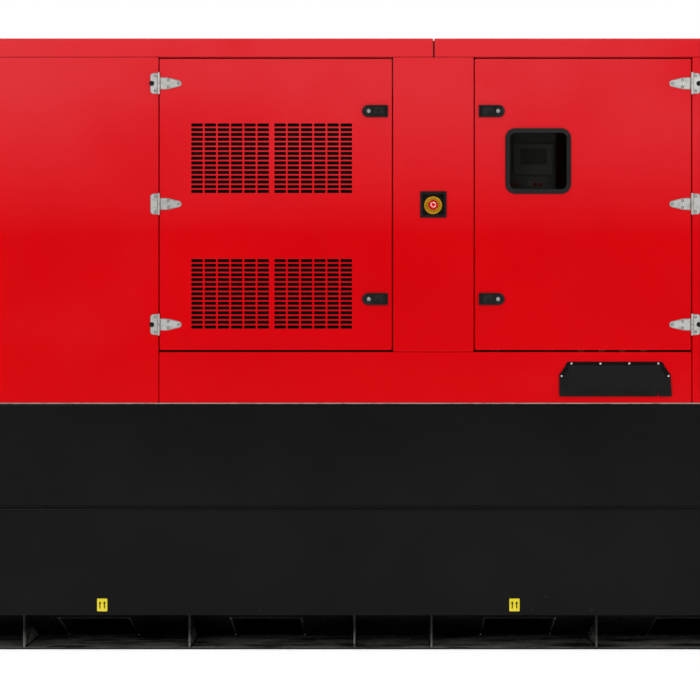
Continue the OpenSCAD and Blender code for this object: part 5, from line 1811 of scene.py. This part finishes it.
def small_base_parts():
    """Marker plates with a plain arrow, plugs and bolt heads on the base."""
    lo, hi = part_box("fork_markers")
    width = 41 * MM
    plates = bmesh.new()
    marks = bmesh.new()
    for way in (-1, 1):
        for x in (lo.x + width / 2, hi.x - width / 2):
            place = mirror_y(way > 0) @ shift(x, FRONT_Y, (lo.z + hi.z) / 2)
            outline = rounded_rect(width, hi.z - lo.z, 3 * MM, 4)
            eased = rounded_rect(width - 1 * MM, hi.z - lo.z - 1 * MM, 2.6 * MM, 4)
            loops = [loop_of(plates, pts, y * MM, place)
                     for pts, y in ((outline, 0), (outline, -1.2), (eased, -1.5))]
            join_run(plates, loops, caps=True)
            for dx in (-9 * MM, 9 * MM):
                add_box(marks, (dx - 2.2 * MM, -1.7 * MM, -14 * MM),
                        (dx + 2.2 * MM, -1.4 * MM, 6 * MM), place)
                head = [(dx - 6 * MM, 6 * MM), (dx, 15 * MM), (dx + 6 * MM, 6 * MM)]
                a = loop_of(marks, head, -1.7 * MM, place)
                b = loop_of(marks, head, -1.4 * MM, place)
                join_loops(marks, a, b)
                marks.faces.new(a)
    piece("lift marker plates", plates, MARKER, "root", "marker_yellow", "fork_markers")
    piece("lift marker arrows", marks, PLASTIC, "root", "marker_yellow")
    studs = bmesh.new()
    for x, z in ((-532, 156), (560, 158), (614, 212), (796, 158), (-1700, 156), (1560, 160)):
        for way in (-1, 1):
            place = mirror_y(way > 0)
            screw_head(studs, (x * MM, FRONT_Y, z * MM), 5.5 * MM, place, 2.4 * MM)
    piece("base plugs", studs, SATIN_BLACK, "root", "stainless")


# -------------------------------- machinery under the canopy

BLOCK_WIDTH = 520 * MM
BLOCK_TOP = low("cylinder_head").z
BLOCK_END = low("engine_block").x


def x_turn(x, y, z):
    """Places a lathe profile along +X."""
    return shift(x, y, z) @ Matrix.Rotation(math.radians(90), 4, "Y")


def bolt_item(radius, height):
    """A hexagon head standing on +Z."""
    bm = bmesh.new()
    add_lathe(bm, [(radius * 1.35, 0), (radius * 1.35, height * 0.18), (radius * 1.2, height * 0.22)],
              IN_PLACE, 18)
    add_lathe(bm, [(0, 0), (radius, height * 0.2), (radius, height * 0.85), (radius * 0.86, height),
                   (0, height)], IN_PLACE, 6)
    return make_mesh("bolt", bm, ZINC)


def bolts(name, points, radius, height, body="root", facing=(0, 0, 1)):
    item = bolt_item(radius, height)
    item.data.transform(towards(facing, (0, 0, 0)))
    return place_piece(on_points(name, item, ZINC, points), body, "stainless")


def tube(bm, points, radius, steps=8, closed=False, sides=14):
    add_sweep(bm, smooth_path(points, steps, closed), circle_pts(radius, sides), closed)


HEAD_X0, HEAD_X1 = low("cylinder_head").x, high("cylinder_head").x
BLOCK_SIDE = -BLOCK_WIDTH / 2
BLOCK_MID = (low("engine_block").z + high("engine_block").z) / 2


def rocker_cover():
    """Ribbed rocker cover with its rim and bolts."""
    x0, x1 = HEAD_X0, HEAD_X1
    top = high("cylinder_head").z
    rocker_z = top - 90 * MM
    half = 110 * MM
    ribs = bmesh.new()
    for i in range(9):
        x = x0 + 60 * MM + i * (x1 - x0 - 120 * MM) / 8
        add_box(ribs, (x - 5 * MM, -half - 4 * MM, rocker_z + 12 * MM),
                (x + 5 * MM, half + 4 * MM, top + 5 * MM))
    add_box(ribs, (x0 + 12 * MM, -half - 14 * MM, rocker_z),
            (x1 - 12 * MM, half + 14 * MM, rocker_z + 12 * MM))
    piece("rocker cover ribs", ribs, ENAMEL, "root", "engine_paint", rounding=2 * MM)
    rim = [(x0 + 40 * MM + i * (x1 - x0 - 80 * MM) / 7, way * (half + 8 * MM), rocker_z + 12 * MM)
           for i in range(8) for way in (-1, 1)]
    bolts("rocker cover bolts", rim, 6 * MM, 8 * MM)


def side_covers():
    """Crankcase covers with their bolts, and the injection pump."""
    x0, side_y, mid_z = HEAD_X0, BLOCK_SIDE, BLOCK_MID
    front = bmesh.new()
    for i in range(3):
        x = x0 + 190 * MM + i * 300 * MM
        add_box(front, (x - 120 * MM, side_y - 9 * MM, mid_z - 60 * MM),
                (x + 120 * MM, side_y, mid_z + 110 * MM))
    add_box(front, (x0 + 420 * MM, side_y - 95 * MM, mid_z + 40 * MM),
            (x0 + 700 * MM, side_y - 9 * MM, mid_z + 150 * MM))
    piece("crankcase side covers", front, ENAMEL, "root", "engine_paint", rounding=4 * MM)
    edge = [(x0 + 190 * MM + i * 300 * MM + dx, side_y - 9 * MM, mid_z + dz)
            for i in range(3) for dx in (-0.105, 0.105) for dz in (-0.045, 0.025, 0.095)]
    bolts("side cover bolts", edge, 5 * MM, 7 * MM, facing=(0, -1, 0))


def filters_and_pipes():
    """Oil filters, and the pipes from the injection pump to the head."""
    x0, x1, side_y, mid_z = HEAD_X0, HEAD_X1, BLOCK_SIDE, BLOCK_MID
    filters = bmesh.new()
    for x in (x0 + 90 * MM, x0 + 210 * MM):
        r = 48 * MM
        at = shift(x, side_y - 62 * MM, mid_z - 60 * MM)
        can = turned(r, (None, 0), (-8, 0), (-2, 4), (0, 12), (0, 165), (3, 168), (3, 176), (-4, 180),
                     (None, 180))
        add_lathe(filters, can, at, 32)
    piece("oil filters", filters, RED_PAINT, "root", "stop_red")

    pipes = bmesh.new()
    for i in range(6):
        start = (x0 + (445 + 46 * i) * MM, side_y - 55 * MM, mid_z + 150 * MM)
        end_x = x0 + 90 * MM + i * (x1 - x0 - 180 * MM) / 5
        tube(pipes, [start, (start[0], start[1] + 5 * MM, mid_z + 215 * MM),
                     (end_x, side_y + 40 * MM, BLOCK_TOP + 40 * MM),
                     (end_x, -172 * MM, BLOCK_TOP + 70 * MM)], 3.5 * MM, 6, sides=8)
    piece("injection pipes", pipes, ZINC, "root", "stainless")


def belt_and_pulleys():
    """Grooved rims on both pulleys and the belt round them."""
    crank = middle("crank_train")
    fan = middle("cooling_fan")
    x0 = BLOCK_END - 55 * MM
    x1 = x0 + 35 * MM
    radii = (95 * MM, 75 * MM)
    for body, z, r in (("crank_train", crank.z, radii[0]), ("cooling_fan", fan.z, radii[1])):
        bm = bmesh.new()
        profile = turned(r, (-14, 0))
        for h in (1, 12, 23):
            profile += turned(r, (1, h), (1, h + 2), (-3, h + 4), (-3, h + 8))
        profile += turned(r, (1, 32), (1, 34), (-14, 35))
        add_lathe(bm, profile, x_turn(x0, 0, z), 48)
        piece(words(body) + " pulley rim", bm, BRIGHT, body, "bright_steel")
    rise = fan.z - crank.z
    lean = math.asin((radii[0] - radii[1]) / rise)
    path = []
    for z, r, start, end in ((crank.z, radii[0], math.pi - lean, 2 * math.pi + lean),
                             (fan.z, radii[1], lean, math.pi - lean)):
        for i in range(25):
            a = start + (end - start) * i / 24
            path.append(((x0 + x1) / 2, (r + 3 * MM) * math.cos(a), z + (r + 3 * MM) * math.sin(a)))
    bm = bmesh.new()
    section = in_mm((-3.5, -15), (3.5, -15), (3.5, 15), (-3.5, 15))
    add_sweep(bm, path, section, True, Vector((1, 0, 0)))
    piece("drive belt", bm, RUBBER, "root", "mount_rubber", rounding=1 * MM)


def fan_blades():
    """Eight twisted and cambered blades on a round hub."""
    centre = middle("cooling_fan")
    lo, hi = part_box("cooling_fan")
    r = (hi.z - lo.z) / 2
    x = BLOCK_END - 120 * MM
    bm = bmesh.new()
    rows = []
    for i in range(9):
        t = i / 8
        radius = 70 * MM + (r - 6 * MM - 70 * MM) * t
        pitch = math.radians(52 - 22 * t)
        half = (44 + 16 * t) * MM
        row = []
        for j in range(7):
            u = j / 6 * 2 - 1
            camber = (1 - u * u) * 7 * MM
            y, ax = u * half * math.cos(pitch), u * half * math.sin(pitch) + camber
            row.append(bm.verts.new((ax, y, radius)))
        rows.append(row)
    for a, b in zip(rows, rows[1:]):
        for j in range(6):
            bm.faces.new((a[j], a[j + 1], b[j + 1], b[j]))
    blade = make_mesh("blade", bm, PLASTIC)
    shell = blade.modifiers.new("thickness", "SOLIDIFY")
    shell.thickness = 4 * MM
    shell.offset = 0
    blade = apply_modifiers(blade)
    blades = ring_of("fan blades", blade, PLASTIC, 8, (x, centre.y, centre.z))
    blades.data.shade_smooth()
    place_piece(blades, "cooling_fan", "fan_plastic", "cooling_fan")
    hub = bmesh.new()
    hub_profile = in_mm((0, 0), (60, 2), (78, 10), (80, 18), (80, 52), (70, 58), (20, 58), (20, 140),
                        (0, 140))
    add_lathe(hub, hub_profile, x_turn(x - 26 * MM, centre.y, centre.z), 40)
    piece("fan hub", hub, PLASTIC, "cooling_fan", "fan_plastic")
    shroud = bmesh.new()
    ring = turned(r, (14, 0), (12, 62), (18, 72), (22, 72), (16, 60), (20, 0))
    add_lathe(shroud, ring, x_turn(x - 78 * MM, 0, centre.z), 56)
    piece("fan shroud ring", shroud, RADIATOR, "root", "radiator_black")


def radiator_core():
    """Radiator with rounded tanks, side posts and rows of cooling fins on both faces."""
    lo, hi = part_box("radiator")
    y = 521 * MM
    z0, z1 = lo.z + 155 * MM, hi.z - 90 * MM
    x0, x1 = lo.x + 30 * MM, lo.x + 74 * MM
    frame_bm = bmesh.new()
    foot_z = low("engine_bearers").z
    for low_z, high_z in ((hi.z - 90 * MM, hi.z), (foot_z + 166 * MM, foot_z + 236 * MM)):
        add_box(frame_bm, (lo.x, lo.y, low_z), (hi.x, hi.y, high_z))
    for way in (-1, 1):
        a, b = sorted((way * 520 * MM, way * 570 * MM))
        add_box(frame_bm, (lo.x + 10 * MM, a, lo.z), (hi.x - 10 * MM, b, hi.z - 90 * MM))
    add_lathe(frame_bm, in_mm((26, -5), (26, 14), (34, 15), (34, 28), (0, 30)),
              shift((lo.x + hi.x) / 2, -0.25, hi.z), 28)
    core_box = ((x0 + 5 * MM, -y, z0 - 20 * MM), (x1 - 5 * MM, y, z1 + 5 * MM))
    core = box_object("radiator core block", [core_box], RADIATOR)
    obj = round_edges(make_mesh("radiator frame", frame_bm, RADIATOR), 6 * MM, 3)
    place_piece(obj, "root", "radiator_black", "radiator")
    place_piece(core, "root", "radiator_black")
    fin = box_object("fin", [((x0, -14 * MM, -1 * MM), (x1, 14 * MM, 1 * MM))], RADIATOR)
    rows = int((z1 - z0) / (11 * MM))
    spots = [(0, -y + 20 * MM + i * 33.4 * MM, z0 + 4 * MM + j * 11 * MM)
             for i in range(31) for j in range(rows)]
    place_piece(on_points("radiator fins", fin, RADIATOR, spots), "root", "radiator_black")


def exhaust_details():
    """Silencer end rims, hanging straps, flange with bolts and the collar on the roof."""
    z = high("front_post").z - 194 * MM
    x0, x1 = BLOCK_END + 30 * MM - 40 * MM, BLOCK_END + 30 * MM + 860 * MM
    r = 150 * MM
    bm = bmesh.new()
    for x in (x0, x0 + 220 * MM, x1 - 220 * MM, x1 - 12 * MM):
        add_lathe(bm, turned(r, (-2, 0), (4, 1), (6, 6), (4, 11), (-2, 12)),
                  x_turn(x, 0, z), 56)
    riser_x = BLOCK_END + 630 * MM
    riser_y = 218 * MM
    for k in range(9):
        h = BLOCK_TOP + (150 + 14 * k) * MM
        add_lathe(bm, in_mm((45, 0), (51, 4), (45, 8)), shift(riser_x, riser_y, h), 36)
    add_lathe(bm, in_mm((45, 0), (66, 0), (66, 12), (45, 12)),
              shift(riser_x, riser_y, BLOCK_TOP + 90 * MM), 36)
    piece("exhaust bands", bm, EXHAUST, "root", "exhaust_steel")
    ring = [(riser_x + 56 * MM * math.cos(a), riser_y + 56 * MM * math.sin(a), BLOCK_TOP + 102 * MM)
            for a in (math.pi / 4 + i * math.pi / 2 for i in range(4))]
    bolts("exhaust flange bolts", ring, 5 * MM, 8 * MM)
    stack_x = low("rain_cap").x + STACK_INSET
    roof_top = high("roof_left").z
    collar = bmesh.new()
    add_lathe(collar, in_mm((47, -4), (78, -3), (84, 0), (80, 6), (62, 9), (52, 20), (46, 22)),
              shift(stack_x, 0, roof_top), 48)
    piece("roof collar", collar, RUBBER, "root", "mount_rubber")


def generator_details():
    """Cooling ribs, bands, terminal box lid with its bolts, output cables and board fittings."""
    z = middle("crank_train").z
    rib = box_object("rib", [((60 * MM, -5 * MM, 278 * MM), (690 * MM, 5 * MM, 288 * MM))], ENAMEL)
    place_piece(ring_of("generator ribs", rib, ENAMEL, 40, (0, 0, z)), "root", "engine_paint")
    bm = bmesh.new()
    for x in (-170 * MM, 30 * MM, 720 * MM, 824 * MM):
        add_lathe(bm, in_mm((276, 0), (288, 2), (288, 14), (276, 16)), x_turn(x, 0, z), 64)
    top = high("generator_stator").z
    add_box(bm, (112 * MM, -208 * MM, top - 4 * MM), (588 * MM, 208 * MM, top + 8 * MM))
    piece("generator bands", bm, ENAMEL, "root", "engine_paint", rounding=2 * MM)
    lid = [((124 + i * 113) * MM, way * 196 * MM, top + 8 * MM) for i in range(5) for way in (-1, 1)]
    bolts("terminal lid bolts", lid, 5 * MM, 6 * MM)

    bars = bmesh.new()
    cables = bmesh.new()
    studs = [(0.768 + 0.085 * i, 1.179) for i in range(4)]
    face_y = high("output_board").y - 12 * MM
    for i, (x, stud_z) in enumerate(studs):
        add_box(bars, (x - 14 * MM, face_y - 6 * MM, stud_z - 18 * MM),
                (x + 14 * MM, face_y, stud_z + 110 * MM))
        route = [(0.2 + 0.09 * i, -0.19, top - 0.08), (0.3 + 0.09 * i, -0.30, top - 0.13),
                 (x - 0.05, -0.42, 1.46), (x, face_y - 28 * MM, 1.34),
                 (x, face_y - 10 * MM, stud_z + 90 * MM)]
        tube(cables, route, 11 * MM, 8, sides=12)
    piece("output bus bars", bars, COPPER, "root", "stainless", rounding=1 * MM)
    piece("output cables", cables, HOSE, "root", "cap_black")
    nuts = [(x, face_y - h * MM, stud_z) for x, stud_z in studs for h in (6, 24)]
    bolts("output stud nuts", nuts, 10 * MM, 10 * MM, facing=(0, -1, 0))


def hoses():
    """Coolant hoses with clips, air cleaner with its duct, and battery leads."""
    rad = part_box("radiator")
    bm = bmesh.new()
    tube(bm, [(rad[1].x - 5 * MM, 0.42, rad[1].z - 45 * MM), (-1.40, 0.44, rad[1].z - 60 * MM),
              (-1.26, 0.40, 1.80), (-1.20, 0.20, 1.56), (-1.17, 0.12, 1.46)], 30 * MM)
    tube(bm, [(rad[1].x - 5 * MM, -0.42, 0.80), (-1.42, -0.43, 0.81), (-1.28, -0.36, 0.90),
              (BLOCK_END + 45 * MM, -0.24, 0.96)], 30 * MM)
    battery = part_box("battery")
    for dx, dy in ((35 * MM, 0.02), (165 * MM, 0.06)):
        x, y, z = battery[0].x + dx, battery[0].y + 40 * MM, battery[1].z
        tube(bm, [(x, y, z), (x - 0.02, y + 0.05, z + 0.05), (x - 0.1, y + 0.14 + dy, z + 0.03),
                  (x - 0.32, -0.33 + dy, z + 0.02), (-0.52, -0.28 + dy, 0.93)], 7 * MM, sides=10)
    piece("hoses and leads", bm, HOSE, "root", "cap_black")
    clips = bmesh.new()
    for x, y, z, way in ((rad[1].x + 22 * MM, 0.42, rad[1].z - 46 * MM, (1, 0.1, -0.1)),
                         (-1.19, 0.155, 1.50, (0.3, -0.7, -0.8)),
                         (rad[1].x + 22 * MM, -0.42, 0.801, (1, 0, 0))):
        add_lathe(clips, in_mm((30, -6), (33, -6), (33, 6), (30, 6)), towards(way, (x, y, z)), 32)
    for dx in (35 * MM, 165 * MM):
        at = shift(battery[0].x + dx, battery[0].y + 40 * MM, battery[1].z - 4 * MM)
        add_lathe(clips, in_mm((9, 0), (14, 1), (14, 9), (9, 11), (0, 11)), at, 20)
    piece("hose clips", clips, ZINC, "root", "stainless")
    cleaner = bmesh.new()
    can = in_mm((0, 0), (80, 0), (88, 8), (88, 30), (82, 34), (82, 300), (88, 304), (88, 330),
                (60, 344), (34, 350), (34, 380), (0, 380))
    add_lathe(cleaner, can, x_turn(-0.95, -0.33, 1.70), 40)
    duct = [(-0.58, -0.33, 1.70), (-0.46, -0.32, 1.69), (-0.40, -0.25, 1.60), (-0.40, -0.15, 1.50)]
    tube(cleaner, duct, 34 * MM)
    add_box(cleaner, (-0.86, -0.262, 1.40), (-0.82, -0.25, 1.66))
    piece("air cleaner", cleaner, PLASTIC, "root", "cap_black")


def linings():
    """Foam behind the doors and panels, held by rows of dished washers."""
    lo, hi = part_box("louvre_door_liner")
    service = box_object("service door foam", [((lo.x, -hi.y, lo.z), (hi.x, -lo.y, hi.z))], FOAM)
    place_piece(round_edges(service, 4 * MM), "service_door", "liner_foam")
    front_foam = box_object("louvred door foam", [((lo.x, lo.y, lo.z), (hi.x, hi.y, hi.z))], FOAM)
    place_piece(round_edges(front_foam, 4 * MM), "louvre_door", "liner_foam", "louvre_door_liner")
    for door, way in (("louvre_door", 1), ("service_door", -1)):
        bm = bmesh.new()
        add_lathe(bm, in_mm((15, -3), (15, 0), (9, 1.6), (0, 2.2)),
                  towards((0, way, 0), (0, way * hi.y, 0)), 20)
        spots = [(lo.x + (60 + 202 * i) * MM, 0, lo.z + (70 + 204 * j) * MM)
                 for i in range(5) for j in range(6)]
        pins = on_points(words(door) + " foam pins", make_mesh("pin", bm, ZINC), ZINC, spots)
        place_piece(pins, door, "stainless")
    boxes = []
    for node in ("front_left_panel", "front_right_panel"):
        a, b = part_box(node)
        for way in (-1, 1):
            y = sorted((way * (REAR_Y - 5 * MM), way * (REAR_Y - 30 * MM)))
            boxes.append(((a.x + 16 * MM, y[0], a.z + 16 * MM), (b.x - 16 * MM, y[1], b.z - 16 * MM)))
    walls = box_object("wall foam", boxes, FOAM)
    place_piece(round_edges(walls, 4 * MM), "root", "liner_foam")


SOFT_NODES = {
    "base_ends": 2.0, "fuel_tank": 8.0, "engine_bearers": 6.0, "engine_block": 8.0, "cylinder_head": 6.0,
    "control_cabinet": 1.2, "output_board": 1.5, "breaker_handle": 2.0, "battery": 5.0, "fuel_cap": 2.0,
    "engine_mounts": 3.0, "rain_cap": 0.8,
}


def soften_nodes():
    for node, width in SOFT_NODES.items():
        soften(node, width * MM)


fixed_panels()
louvred_doors()
window_door_leaf()
end_walls()
roof_caps()
skid_sides()
pocket_tubes()
skid_gussets()
upper_rails()
hinges()
latches()
stop_button()
window()
controls()
flap()
small_base_parts()
rocker_cover()
side_covers()
filters_and_pipes()
belt_and_pulleys()
fan_blades()
radiator_core()
exhaust_details()
generator_details()
hoses()
linings()
soften_nodes()
finish_cad_nodes()
studio()
